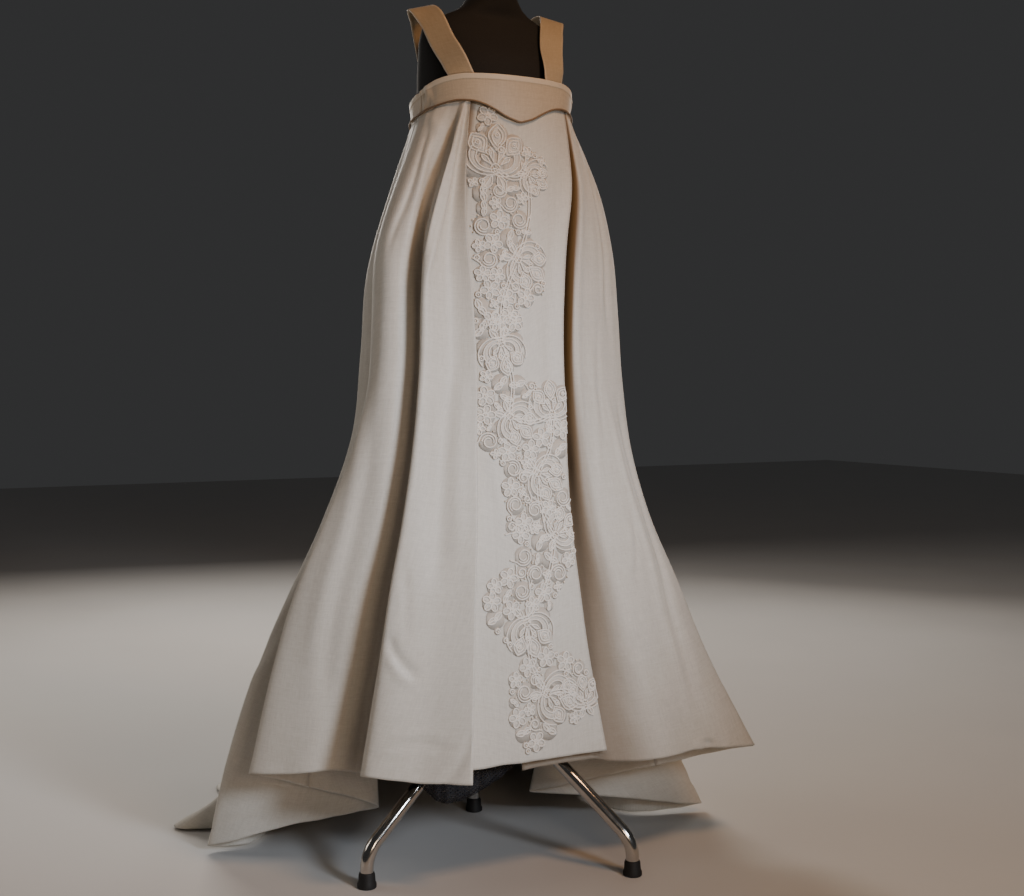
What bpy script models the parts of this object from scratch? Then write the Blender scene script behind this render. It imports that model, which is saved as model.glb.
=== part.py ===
"""A wedding dress on a limbless dress form with a tripod stand, in metres, +Z up.

The garment's own frame has the stand's pole on the Z axis, the floor at Z = 0 and centre front
towards -Y. An empty carries that frame, so that the whole object's box stands centred on the origin.

The skirt is worked out from two tables. SECTIONS gives the rings that the cloth would follow with
no folds, from the waist seam down to the hem, and FOLDS gives each fold of the cloth: where it
leaves the seam, how it stands out at the hip and where it meets the hem. A smooth line through
the folds at one level is that level's section of the cloth.
"""

import math

import bmesh
import bpy
import numpy as np
from mathutils import Matrix, Vector

# Where the pole stands, so that the box of the whole object is centred on the origin.
POLE_X, POLE_Y = -0.018, -0.315

SEAM_GAP = 0.0003
SILK = 0.0016
BAND_WALL = 0.0030
STRAP_WALL = 0.0020
PIPING_RADIUS = 0.0019
LACE_WALL = 0.0016
LACE_CLEAR = 0.0012

# The waist seam and the band's upper edge, by the angle from centre front.
SEAM_COLUMNS = ("angle", "seam_z", "top_z")
SEAM = (
    (0, 1.3010, 1.3810),
    (8, 1.3085, 1.3811),
    (18, 1.3225, 1.3812),
    (28, 1.3320, 1.3812),
    (40, 1.3350, 1.3805),
    (62, 1.3270, 1.3720),
    (90, 1.3135, 1.3500),
    (130, 1.2980, 1.3350),
    (180, 1.2900, 1.3290),
)
BAND_TOP_RING = {"right": 0.1500, "left": 0.1500, "front": 0.1070, "back": 0.1030}

# Rings of the skirt with no folds. Level 0 is the seam and level 1 the hem. The shares say how far
# a fold has gone at that level from the ring to its place at the hem: hang is a fold that falls
# close to the form and then opens, sweep one that opens early, and trail one that lies on the floor
# at its end. Turn is the share of the way round from the seam's angle to the hip's, and pleat the
# share of a pleat's own height that stands out.
SECTION_COLUMNS = (
    "level", "right", "left", "front", "back", "squareness",
    "turn", "pleat", "hang", "sweep", "trail", "trail_drop",
)
SECTIONS = (
    (0.000, 0.1480, 0.1480, 0.1040, 0.1000, 2.2, 0.00, 0.07, 0.00, 0.00, 0.00, 0.000),
    (0.050, 0.1680, 0.1800, 0.1050, 0.1200, 2.2, 0.18, 0.45, 0.00, 0.00, 0.01, 0.056),
    (0.100, 0.1890, 0.2080, 0.1060, 0.1370, 2.2, 0.36, 0.75, 0.00, 0.00, 0.02, 0.117),
    (0.200, 0.2210, 0.2400, 0.1080, 0.1660, 2.2, 0.72, 1.00, 0.00, 0.01, 0.06, 0.237),
    (0.300, 0.2240, 0.2520, 0.1120, 0.1780, 2.2, 0.94, 1.00, 0.00, 0.02, 0.12, 0.365),
    (0.410, 0.2260, 0.2600, 0.1160, 0.1890, 2.1, 1.00, 0.90, 0.01, 0.06, 0.20, 0.497),
    (0.520, 0.2310, 0.2650, 0.1200, 0.2020, 2.1, 1.00, 0.75, 0.06, 0.22, 0.29, 0.633),
    (0.630, 0.2350, 0.2680, 0.1230, 0.2120, 2.0, 1.00, 0.55, 0.21, 0.47, 0.39, 0.769),
    (0.735, 0.2380, 0.2700, 0.1250, 0.2200, 2.0, 1.00, 0.35, 0.42, 0.70, 0.50, 0.894),
    (0.845, 0.2400, 0.2700, 0.1260, 0.2250, 2.0, 1.00, 0.15, 0.63, 0.86, 0.68, 0.987),
    (1.000, 0.2400, 0.2700, 0.1260, 0.2250, 2.0, 1.00, 0.00, 1.00, 1.00, 1.00, 1.000),
)

# The folds from the pleat on the wearer's right of the centre panel, round the back, to the pleat
# on the left. Angles are in degrees from centre front, - to the wearer's right. Lift is out from
# the ring all the way down, and pleat is out from it at the hip.
FOLD_COLUMNS = (
    "name", "seam_angle", "hip_angle", "lift", "pleat",
    "hem_x", "hem_y", "hem_z", "sweep", "train", "softness",
)
FOLDS = (
    ("right_return", -41, -29, -0.0034, -0.006, -0.158, -0.150, 0.192, 0.0, 0.0, 0.5),
    ("right_turn", -34.8, -22, -0.0034, -0.002, -0.133, -0.171, 0.190, 0.0, 0.0, 0.9),
    ("right_edge", -33.8, -21, 0.0000, 0.001, -0.131, -0.181, 0.190, 0.0, 0.0, 0.5),
    ("right_hollow", -35.8, -33, 0.0000, -0.006, -0.197, -0.137, 0.190, 0.0, 0.0, 1.0),
    ("right_ridge", -37.8, -48, 0.0000, 0.018, -0.2841, -0.0875, 0.200, 0.35, 0.0, 0.6),
    ("right_valley", -43, -53, 0.0000, -0.026, -0.2406, 0.0373, 0.172, 0.2, 0.0, 0.7),
    ("right_face", -54, -66, 0.0000, -0.004, -0.3056, 0.0322, 0.184, 0.5, 0.0, 1.0),
    ("right_crest", -64, -76, 0.0000, 0.006, -0.3600, 0.0602, 0.178, 0.7, 0.0, 1.0),
    ("right_flute", -79, -88, 0.0000, 0.003, -0.4120, 0.1200, 0.170, 0.78, 0.0, 0.7),
    ("right_inside", -88, -97, 0.0000, -0.002, -0.300, 0.128, 0.130, 1.0, 0.0, 1.0),
    ("right_side", -98, -106, 0.0000, -0.010, -0.157, 0.155, 0.065, 0.6, 0.0, 0.7),
    ("right_outside", -106, -113, 0.0000, 0.000, -0.316, 0.175, 0.052, 0.9, 0.1, 1.0),
    ("right_back_flute", -114, -121, 0.0000, 0.004, -0.445, 0.250, 0.014, 1.25, 0.2, 0.8),
    ("right_under", -121, -127, 0.0000, 0.000, -0.368, 0.252, 0.005, 0.8, 0.25, 1.0),
    ("right_back_valley", -128, -133, 0.0000, -0.008, -0.318, 0.330, 0.006, 0.5, 0.4, 0.8),
    ("right_train_flute", -137, -141, 0.0000, 0.006, -0.464, 0.412, 0.004, 0.6, 0.6, 0.8),
    ("right_train_valley", -146, -149, 0.0000, -0.006, -0.322, 0.490, 0.005, 0.5, 0.7, 0.9),
    ("right_train_edge", -154, -156, 0.0000, 0.005, -0.310, 0.640, 0.004, 0.5, 0.85, 0.9),
    ("right_train_hollow", -163, -164, 0.0000, -0.004, -0.186, 0.690, 0.005, 0.5, 0.9, 0.9),
    ("right_train_end", -171, -171, 0.0000, 0.003, -0.130, 0.815, 0.004, 0.0, 1.0, 1.0),
    ("centre_back", 180, 180, 0.0000, 0.000, 0.000, 0.850, 0.004, 0.0, 1.0, 1.0),
    ("left_train_end", 171, 171, 0.0000, 0.003, 0.140, 0.810, 0.004, 0.0, 1.0, 1.0),
    ("left_train_hollow", 163, 164, 0.0000, -0.004, 0.205, 0.680, 0.005, 0.5, 0.9, 0.9),
    ("left_train_edge", 154, 156, 0.0000, 0.005, 0.345, 0.625, 0.004, 0.5, 0.85, 0.9),
    ("left_train_valley", 146, 149, 0.0000, -0.006, 0.350, 0.470, 0.005, 0.5, 0.7, 0.9),
    ("left_train_flute", 137, 141, 0.0000, 0.006, 0.500, 0.360, 0.004, 0.6, 0.6, 0.8),
    ("left_back_valley", 128, 133, 0.0000, -0.008, 0.330, 0.235, 0.006, 0.4, 0.4, 0.8),
    ("left_under", 121, 127, 0.0000, 0.000, 0.350, 0.085, 0.005, 0.5, 0.25, 1.0),
    ("left_back_flute", 114, 121, 0.0000, 0.004, 0.487, 0.032, 0.016, 0.5, 0.2, 0.8),
    ("left_outside", 106, 113, 0.0000, 0.000, 0.290, 0.056, 0.050, 0.4, 0.1, 1.0),
    ("left_side", 98, 106, 0.0000, -0.010, 0.146, 0.112, 0.068, 0.2, 0.0, 0.7),
    ("left_inside", 88, 97, 0.0000, -0.002, 0.325, -0.045, 0.130, 0.1, 0.0, 1.0),
    ("left_flute", 78, 86, 0.0000, 0.004, 0.478, -0.141, 0.170, 0.0, 0.0, 0.8),
    ("left_crest", 68, 68, 0.0000, 0.003, 0.420, -0.161, 0.180, 0.1, 0.0, 1.0),
    ("left_valley", 60, 50, 0.0000, -0.004, 0.343, -0.150, 0.183, 0.3, 0.0, 0.9),
    ("left_face", 54, 35, 0.0000, 0.000, 0.265, -0.163, 0.181, 0.1, 0.0, 1.0),
    ("left_ridge", 47, 22, 0.0000, 0.006, 0.192, -0.150, 0.180, 0.0, 0.0, 0.9),
    ("left_hollow", 44, 17, -0.0060, -0.018, 0.122, -0.126, 0.186, 0.0, 0.0, 0.8),
    ("left_underlay", 30, 10, -0.0060, -0.004, 0.050, -0.120, 0.185, 0.0, 0.0, 1.0),
    ("left_underlay_end", 12, 0, -0.0060, -0.004, 0.001, -0.112, 0.180, 0.0, 0.0, 1.0),
)

# The panels as they are cut, with the width of their columns at the hem.
PANELS = {
    "panel_right_front": ("right_return", "right_inside", 0.034),
    "panel_right_back": ("right_inside", "centre_back", 0.050),
    "panel_left_back": ("centre_back", "left_inside", 0.050),
    "panel_left_front": ("left_inside", "left_underlay_end", 0.034),
}

# The centre panel lies between the two pleats, under the right one and over the left one.
CENTRE_FOLDS = (
    ("centre_hidden", -42, -32, -0.0064, -0.009, -0.140, -0.142, 0.205, 0.0, 0.0, 1.0),
    ("centre_left", -33, -24, -0.0062, -0.007, -0.112, -0.150, 0.205, 0.0, 0.0, 1.0),
    ("centre_left_mid", -17, -12, -0.0030, -0.001, -0.055, -0.149, 0.205, 0.0, 0.0, 1.0),
    ("centre_mid", 0, -2, -0.0010, 0.000, 0.010, -0.147, 0.204, 0.0, 0.0, 1.0),
    ("centre_right_mid", 22, 6, 0.0000, 0.000, 0.082, -0.148, 0.205, 0.0, 0.0, 1.0),
    ("centre_right", 44, 15, 0.0000, 0.000, 0.151, -0.149, 0.205, 0.0, 0.0, 1.0),
)
CENTRE_COLUMN = 0.026

SKIRT_LEVELS = 14

# The net flounce inside the skirt, only its lowest part, which shows under the hem. Its own hem is
# uneven and rides over the stand's legs.
NET_RING = {"right": 0.186, "left": 0.188, "front": 0.097, "back": 0.145, "squareness": 2.0}
NET_TOP, NET_MIDDLE = 0.400, 0.280
NET_HEM_COLUMNS = ("angle", "hem_z")
NET_HEM = (
    (-180, 0.200),
    (-150, 0.178),
    (-110, 0.166),
    (-78, 0.165),
    (-64, 0.160),
    (-46, 0.132),
    (-27, 0.140),
    (0, 0.190),
    (22, 0.220),
    (50, 0.212),
    (95, 0.180),
    (135, 0.182),
    (164, 0.204),
    (180, 0.200),
)
NET_WALL = 0.0010
NET_WAVES, NET_WAVE_DEPTH = 15, 0.005

# The lace motifs sewn on the centre panel: the middle of each, its petals and how far they reach,
# and the leaves that run out further. Turns are in degrees from +X, counterclockwise from the front.
LACE_COLUMNS = ("x", "z", "petals", "reach", "turn", "leaf_turns", "leaf_reach")
LACE = (
    (-0.048, 1.226, 6, 0.040, 30, (92,), 0.068),
    (0.024, 1.212, 5, 0.024, 40, (75, 285), 0.036),
    (-0.038, 1.146, 5, 0.019, 0, (90, 250), 0.034),
    (-0.004, 1.064, 6, 0.044, 10, (5, 115, 250), 0.054),
    (-0.064, 1.052, 5, 0.016, 20, (95, 265), 0.032),
    (-0.052, 0.985, 5, 0.018, 50, (110, 280), 0.028),
    (-0.044, 0.918, 6, 0.040, 0, (200, 60), 0.050),
    (-0.050, 0.850, 5, 0.015, 10, (60, 240), 0.026),
    (-0.030, 0.790, 6, 0.038, 30, (235, 340), 0.048),
    (0.050, 0.816, 5, 0.042, 18, (95, 225), 0.056),
    (-0.070, 0.726, 5, 0.017, 0, (250, 60), 0.028),
    (0.026, 0.706, 6, 0.040, 20, (160, 330), 0.050),
    (0.006, 0.632, 5, 0.018, 30, (150, 320), 0.030),
    (0.060, 0.606, 5, 0.036, 50, (70, 265), 0.050),
    (-0.010, 0.566, 5, 0.022, 0, (130, 290), 0.032),
    (0.038, 0.524, 5, 0.020, 10, (330, 200), 0.034),
    (-0.066, 0.486, 5, 0.022, 40, (150, 80), 0.036),
    (-0.008, 0.440, 6, 0.044, 0, (285, 60), 0.062),
    (0.032, 0.316, 6, 0.046, 15, (130, 200), 0.058),
    (0.112, 0.306, 5, 0.024, 30, (95, 280), 0.044),
    (-0.034, 0.258, 5, 0.018, 20, (30, 185), 0.030),
)
LACE_SPOKES = 32
LEAF_WIDTH = 0.26

# The straps run from the band's top edge in front, over the shoulder, to its top edge behind.
# Heading is where the strap's face looks, in degrees from the front, and pitch how far up it looks.
STRAP_ENDS = {"strap_right": (-41.5, -158.0), "strap_left": (28.0, 158.0)}
STRAP_COLUMNS = ("x", "y", "z", "heading", "pitch")
STRAP_PATHS = {
    "strap_right": (
        (-0.1130, -0.0700, 1.4100, -52, 12),
        (-0.1220, -0.0480, 1.4425, -52, 22),
        (-0.1305, -0.0230, 1.4850, -56, 38),
        (-0.1330, 0.0180, 1.5130, -80, 75),
        (-0.1150, 0.0500, 1.4990, -145, 52),
        (-0.0860, 0.0850, 1.4300, -160, 15),
    ),
    "strap_left": (
        (0.0765, -0.0895, 1.4100, 10, 14),
        (0.0840, -0.0700, 1.4425, 0, 26),
        (0.0992, -0.0450, 1.4850, 5, 42),
        (0.1180, -0.0080, 1.5150, 40, 74),
        (0.1130, 0.0420, 1.5020, 150, 60),
        (0.0860, 0.0850, 1.4300, 160, 15),
    ),
}
STRAP_WIDTH = 0.045
STRAP_SAMPLES = 22

# The dress form, from its flat underside to the top of its neck.
FORM_COLUMNS = ("z", "width", "front", "back", "squareness")
FORM = (
    (0.800, 0.150, 0.086, 0.108, 2.2),
    (0.850, 0.162, 0.092, 0.120, 2.2),
    (0.940, 0.170, 0.094, 0.128, 2.2),
    (1.040, 0.150, 0.086, 0.108, 2.2),
    (1.140, 0.124, 0.076, 0.086, 2.1),
    (1.230, 0.130, 0.082, 0.084, 2.1),
    (1.300, 0.137, 0.089, 0.088, 2.1),
    (1.370, 0.140, 0.094, 0.091, 2.1),
    (1.420, 0.139, 0.083, 0.088, 2.1),
    (1.460, 0.137, 0.058, 0.074, 2.0),
    (1.487, 0.124, 0.043, 0.056, 2.0),
    (1.500, 0.098, 0.037, 0.048, 2.0),
    (1.512, 0.070, 0.042, 0.046, 2.0),
    (1.530, 0.052, 0.046, 0.046, 2.0),
    (1.600, 0.047, 0.047, 0.047, 2.0),
)
FORM_SIDES = 28

POLE_RADIUS = 0.0125
HUB_RADIUS, HUB_LOW, HUB_HIGH = 0.0210, 0.236, 0.292
LEG_RADIUS = 0.0115
LEG_TOP = 0.262
LEG_SHOULDER = 0.040
LEG_REACH = 0.264
LEG_KNEE = 0.058
LEG_BEND = 0.030
LEG_ANGLES = (189.5, 309.5, 69.5)
FOOT_RADIUS, FOOT_HEIGHT = 0.0165, 0.0260

BUTTON_RADIUS, BUTTON_DEPTH = 0.0060, 0.0040
BUTTON_HEIGHTS = (1.3015, 1.3190)
BUTTON_ANGLE = -175.0


def remove_everything():
    for item in list(bpy.data.objects):
        bpy.data.objects.remove(item, do_unlink=True)


def material(name, colour, roughness, metallic=0.0):
    made = bpy.data.materials.new(name)
    made.use_nodes = True
    shader = made.node_tree.nodes["Principled BSDF"]
    shader.inputs["Base Color"].default_value = (*colour, 1.0)
    shader.inputs["Roughness"].default_value = roughness
    shader.inputs["Metallic"].default_value = metallic
    return made


def add_object(name, data, parent, collection, surface):
    made = bpy.data.objects.new(name, data)
    data.materials.append(surface)
    made.parent = parent
    collection.objects.link(made)
    return made


# Reading the tables


def values(table, columns, name):
    return np.array([row[columns.index(name)] for row in table], float)


def smooth(xs, ys, x):
    """A smooth line through a table's values, read at x."""
    slopes = np.gradient(ys, xs, axis=0)
    i = int(np.clip(np.searchsorted(xs, x) - 1, 0, len(xs) - 2))
    span = xs[i + 1] - xs[i]
    s = (x - xs[i]) / span
    return (
        (1 + 2 * s) * (1 - s) ** 2 * ys[i]
        + s * (1 - s) ** 2 * span * slopes[i]
        + s * s * (3 - 2 * s) * ys[i + 1]
        + s * s * (s - 1) * span * slopes[i + 1]
    )


def read(table, columns, x):
    """Every column of a table at x, a value of its first column."""
    xs = values(table, columns, columns[0])
    return {name: float(smooth(xs, values(table, columns, name), x)) for name in columns[1:]}


def ring_point(angle, ring):
    """A point of a ring and the way out from it, at an angle in degrees from centre front."""
    s, c = math.sin(math.radians(angle)), math.cos(math.radians(angle))
    width = ring["left"] if s > 0 else ring["right"]
    depth = ring["front"] if c > 0 else ring["back"]
    power = ring["squareness"]
    across, along = abs(s) ** (2 / power), abs(c) ** (2 / power)
    point = np.array([math.copysign(width * across, s), -math.copysign(depth * along, c)])
    outward = np.array(
        [
            math.copysign(across ** (power - 1) / width, s),
            -math.copysign(along ** (power - 1) / depth, c),
        ]
    )
    return point, outward / np.linalg.norm(outward)


# The waist seam and the skirt


def seam_height(x, y, name="seam_z"):
    """The height of the waist seam, or of the band's top, over a point of the waist ring."""
    seam_ring = read(SECTIONS, SECTION_COLUMNS, 0.0)
    depth = seam_ring["front"] if y < 0 else seam_ring["back"]
    power = seam_ring["squareness"]
    across = (abs(x) / seam_ring["left"]) ** (power / 2)
    along = (abs(y) / depth) ** (power / 2)
    angle = math.degrees(math.atan2(across, -math.copysign(along, y)))
    return read(SEAM, SEAM_COLUMNS, min(abs(angle), 180.0))[name]


def fold_points(folds, level):
    """Where each fold passes at a level."""
    here = read(SECTIONS, SECTION_COLUMNS, level)
    found = []
    for row in folds:
        fold = dict(zip(FOLD_COLUMNS, row))
        angle = fold["seam_angle"] + here["turn"] * (fold["hip_angle"] - fold["seam_angle"])
        point, outward = ring_point(angle, here)
        share = here["hang"] + fold["sweep"] * (here["sweep"] - here["hang"])
        share = share + fold["train"] * (here["trail"] - share)
        stand = fold["lift"] + fold["pleat"] * here["pleat"]
        hem = np.array([fold["hem_x"], fold["hem_y"]])
        found.append((1 - share) * (point + stand * outward) + share * hem)
    return np.array(found)


def along_folds(points, softness, places):
    """The smooth line through the folds, read at places counted in folds."""
    chords = np.diff(points, axis=0)
    ways = np.vstack([chords[:1], points[2:] - points[:-2], chords[-1:]])
    ways = ways / np.linalg.norm(ways, axis=1, keepdims=True) * softness[:, None]
    i = np.clip(np.floor(places).astype(int), 0, len(chords) - 1)
    s = (places - i)[:, None]
    length = np.linalg.norm(chords[i], axis=1, keepdims=True)
    return (
        (1 + 2 * s) * (1 - s) ** 2 * points[i]
        + s * (1 - s) ** 2 * length * ways[i]
        + s * s * (3 - 2 * s) * points[i + 1]
        + s * s * (s - 1) * length * ways[i + 1]
    )


def cloth_points(folds, places, levels):
    """The cloth's points, a row for each level and a column for each place."""
    order = np.arange(len(folds), dtype=float)
    softness = values(folds, FOLD_COLUMNS, "softness")
    hem_z = np.array([smooth(order, values(folds, FOLD_COLUMNS, "hem_z"), p) for p in places])
    train = np.array([smooth(order, values(folds, FOLD_COLUMNS, "train"), p) for p in places])
    seam = along_folds(fold_points(folds, 0.0), softness, places)
    top = np.array([seam_height(x, y) for x, y in seam]) - 2 * SEAM_GAP
    rows = []
    for level in levels:
        flat = along_folds(fold_points(folds, level), softness, places)
        drop = level + train * (read(SECTIONS, SECTION_COLUMNS, level)["trail_drop"] - level)
        rows.append(np.column_stack([flat, top + drop * (hem_z - top)]))
    return np.array(rows)


def fold_places(folds, first, last, column_width):
    """Places across a panel, closer together where its folds are narrow at the hem."""
    names = [row[0] for row in folds]
    hem = fold_points(folds, 1.0)
    places = []
    for i in range(names.index(first), names.index(last)):
        count = max(2, round(float(np.linalg.norm(hem[i + 1] - hem[i])) / column_width))
        places.extend(i + step / count for step in range(count))
    return np.array([*places, float(names.index(last))])


def with_seam_gaps(points):
    """The same points with the two sides moved in by half a seam's gap."""
    moved = points.copy()
    for edge, beside in ((0, 1), (-1, -2)):
        way = points[:, beside] - points[:, edge]
        moved[:, edge] += way / np.linalg.norm(way, axis=1, keepdims=True) * SEAM_GAP / 2
    return moved


def grid_mesh(name, points):
    """A mesh of a grid of points, whose faces look out for rows going down and columns going round."""
    rows, columns = points.shape[:2]
    bm = bmesh.new()
    bmesh.ops.create_grid(bm, x_segments=columns - 1, y_segments=rows - 1, size=0.5)
    for vertex in bm.verts:
        column = round((vertex.co.x + 0.5) * (columns - 1))
        row = round((0.5 - vertex.co.y) * (rows - 1))
        vertex.co = Vector(points[row, column])
    mesh = bpy.data.meshes.new(name)
    bm.to_mesh(mesh)
    bm.free()
    mesh.shade_smooth()
    return mesh


def tube_mesh(name, rings, closed_ends):
    """A mesh through closed rings of points, each with the same number of points."""
    bm = bmesh.new()
    loops = [[bm.verts.new(point) for point in ring] for ring in rings]
    for here, after in zip(loops, loops[1:]):
        for i in range(len(here)):
            j = (i + 1) % len(here)
            bm.faces.new((here[i], here[j], after[j], after[i]))
    if closed_ends:
        bm.faces.new(reversed(loops[0]))
        bm.faces.new(loops[-1])
    bmesh.ops.recalc_face_normals(bm, faces=bm.faces)
    mesh = bpy.data.meshes.new(name)
    bm.to_mesh(mesh)
    bm.free()
    mesh.shade_smooth()
    return mesh


def add_cloth(name, points, wall, surface, place):
    """Cloth of a wall's thickness with its middle on a grid of points."""
    made = add_object(name, grid_mesh(name, points), *place, surface)
    thick = made.modifiers.new("Wall", "SOLIDIFY")
    thick.thickness = wall
    thick.offset = 0.0
    return made


def add_skirt(place, silk):
    levels = np.linspace(0.0, 1.0, SKIRT_LEVELS + 1)
    for name, (first, last, column_width) in PANELS.items():
        points = cloth_points(FOLDS, fold_places(FOLDS, first, last, column_width), levels)
        add_cloth(name, with_seam_gaps(points), SILK, silk, place)
    first, last = CENTRE_FOLDS[0][0], CENTRE_FOLDS[-1][0]
    places = fold_places(CENTRE_FOLDS, first, last, CENTRE_COLUMN)
    points = cloth_points(CENTRE_FOLDS, places, levels)
    add_cloth("panel_centre_front", points, SILK, silk, place)


def add_net(place, net):
    """The net flounce: a waved tube, longest where it shows and clear of the stand's legs."""
    count = NET_WAVES * 4
    rows = [[], [], []]
    for step in range(count):
        angle = 360.0 * step / count - 180.0
        point, outward = ring_point(angle, NET_RING)
        x, y = point + outward * NET_WAVE_DEPTH * math.sin(2 * math.pi * step / 4)
        heights = NET_TOP, NET_MIDDLE, read(NET_HEM, NET_HEM_COLUMNS, angle)["hem_z"]
        for row, z in zip(rows, heights):
            row.append([x, y, z])
    tube = tube_mesh("net_flounce", rows, False)
    made = add_object("net_flounce", tube, *place, net)
    thick = made.modifiers.new("Wall", "SOLIDIFY")
    thick.thickness = NET_WALL
    thick.offset = 0.0


# The band, its piping and the closure at centre back


def band_points(first, last, count):
    """The band's points between two angles, its top row first."""
    low_ring = read(SECTIONS, SECTION_COLUMNS, 0.0)
    high_ring = dict(low_ring, **BAND_TOP_RING)
    rows = []
    for share in (1.0, 0.5, 0.0):
        row = []
        for angle in np.linspace(first, last, count):
            low, outward = ring_point(angle, low_ring)
            high, _ = ring_point(angle, high_ring)
            edge = read(SEAM, SEAM_COLUMNS, abs(angle))
            z = edge["seam_z"] + SEAM_GAP + share * (edge["top_z"] - edge["seam_z"] - SEAM_GAP)
            row.append([*(low + share * (high - low)), z])
        rows.append(row)
    return np.array(rows)


def add_bands(place, silk):
    for name, first, last, count in (
        ("band_front", -80, 80, 41),
        ("band_back_left", 80, 180, 13),
        ("band_back_right", -180, -80, 13),
    ):
        add_cloth(name, with_seam_gaps(band_points(first, last, count)), BAND_WALL, silk, place)


def add_piping(place, silk):
    """The corded edge over the waist seam, open at centre back where the dress closes."""
    low_ring = read(SECTIONS, SECTION_COLUMNS, 0.0)
    curve = bpy.data.curves.new("piping", "CURVE")
    curve.dimensions = "3D"
    curve.bevel_depth = PIPING_RADIUS
    curve.bevel_resolution = 1
    curve.use_fill_caps = True
    angles = np.linspace(-179, 179, 57)
    line = curve.splines.new("POLY")
    line.points.add(len(angles) - 1)
    for spot, angle in zip(line.points, angles):
        point, outward = ring_point(angle, low_ring)
        point = point + outward * (BAND_WALL / 2 + SEAM_GAP + PIPING_RADIUS + 0.0003)
        spot.co = (*point, read(SEAM, SEAM_COLUMNS, abs(angle))["seam_z"], 1.0)
    add_object("piping", curve, *place, silk)


def add_buttons(place, silk):
    """Two covered buttons on the right band, beside the edge at centre back."""
    low_ring = read(SECTIONS, SECTION_COLUMNS, 0.0)
    point, _ = ring_point(BUTTON_ANGLE, dict(low_ring, **BAND_TOP_RING))
    for number, height in enumerate(BUTTON_HEIGHTS, 1):
        bm = bmesh.new()
        bmesh.ops.create_uvsphere(bm, u_segments=12, v_segments=6, radius=BUTTON_RADIUS)
        bmesh.ops.scale(bm, verts=bm.verts, vec=(1.0, BUTTON_DEPTH / BUTTON_RADIUS / 2, 1.0))
        mesh = bpy.data.meshes.new(f"button_{number}")
        bm.to_mesh(mesh)
        bm.free()
        mesh.shade_smooth()
        button = add_object(f"button_{number}", mesh, *place, silk)
        out = BAND_WALL / 2 + BUTTON_DEPTH / 2 + SEAM_GAP
        button.location = (point[0], point[1] + out, height)


# The straps


def band_edge(angle):
    """Three points along the band's top edge, a strap's width in all, and the way the edge faces."""
    ring = dict(read(SECTIONS, SECTION_COLUMNS, 0.0), **BAND_TOP_RING)
    middle, outward = ring_point(angle, ring)
    degree = np.linalg.norm(ring_point(angle + 0.5, ring)[0] - ring_point(angle - 0.5, ring)[0])
    points = []
    for side in (1, 0, -1):
        turned = angle + side * STRAP_WIDTH / 2 / degree
        x, y = ring_point(turned, ring)[0]
        points.append([x, y, read(SEAM, SEAM_COLUMNS, abs(turned))["top_z"] + 2 * SEAM_GAP])
    return np.array(points), math.degrees(math.atan2(outward[0], -outward[1]))


def strap_points(name):
    front, front_heading = band_edge(STRAP_ENDS[name][0])
    back, back_heading = band_edge(STRAP_ENDS[name][1])
    table = np.array(
        [(*front[1], front_heading, 0), *STRAP_PATHS[name], (*back[1], back_heading, 0)], float
    )
    order = np.arange(len(table), dtype=float)
    middles = np.array([smooth(order, table, p) for p in np.linspace(0, order[-1], STRAP_SAMPLES)])
    ways = np.gradient(middles[:, :3], axis=0)
    rows = []
    for (x, y, z, heading, pitch), way in zip(middles, ways):
        heading, pitch = math.radians(heading), math.radians(pitch)
        level = math.cos(pitch)
        face = np.array([level * math.sin(heading), -level * math.cos(heading), math.sin(pitch)])
        across = np.cross(face, way)
        across = across / np.linalg.norm(across) * STRAP_WIDTH / 2
        middle = np.array([x, y, z])
        rows.append([middle - across, middle, middle + across])
    rows[0], rows[-1] = front, back[::-1]
    return np.array(rows)


def add_straps(place, silk):
    for name in STRAP_PATHS:
        add_cloth(name, strap_points(name), STRAP_WALL, silk, place)


# The lace


def front_surface():
    """Sections of the centre panel, top to bottom, for reading its place under a motif."""
    levels = np.linspace(0.0, 1.0, 41)
    places = np.linspace(0, len(CENTRE_FOLDS) - 1, 41)
    return cloth_points(CENTRE_FOLDS, places, levels)


def front_depth(surface, x, z):
    """How far forward the centre panel lies at a place seen from the front."""
    depths, heights = [], []
    for row in surface:
        depths.append(np.interp(x, row[:, 0], row[:, 1]))
        heights.append(np.interp(x, row[:, 0], row[:, 2]))
    return float(np.interp(-z, -np.array(heights), depths))


def on_front(surface, x, z, out):
    """A point over the centre panel, moved out from it."""
    step = 0.004
    y = front_depth(surface, x, z)
    slope_x = (front_depth(surface, x + step, z) - front_depth(surface, x - step, z)) / (2 * step)
    slope_z = (front_depth(surface, x, z + step) - front_depth(surface, x, z - step)) / (2 * step)
    normal = Vector((slope_x, -1.0, slope_z)).normalized()
    return Vector((x, y, z)) + normal * out


def motif_reach(spoke_turn, petals, reach, turn, leaf_turns, leaf_reach):
    """How far a motif's outline is from its middle, in one direction."""
    petal = reach * (0.72 + 0.28 * math.cos(petals * (spoke_turn - math.radians(turn))))
    for leaf_turn in leaf_turns:
        off = (spoke_turn - math.radians(leaf_turn) + math.pi) % (2 * math.pi) - math.pi
        petal = max(petal, leaf_reach * math.exp(-((off / LEAF_WIDTH) ** 2)))
    return petal


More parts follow.
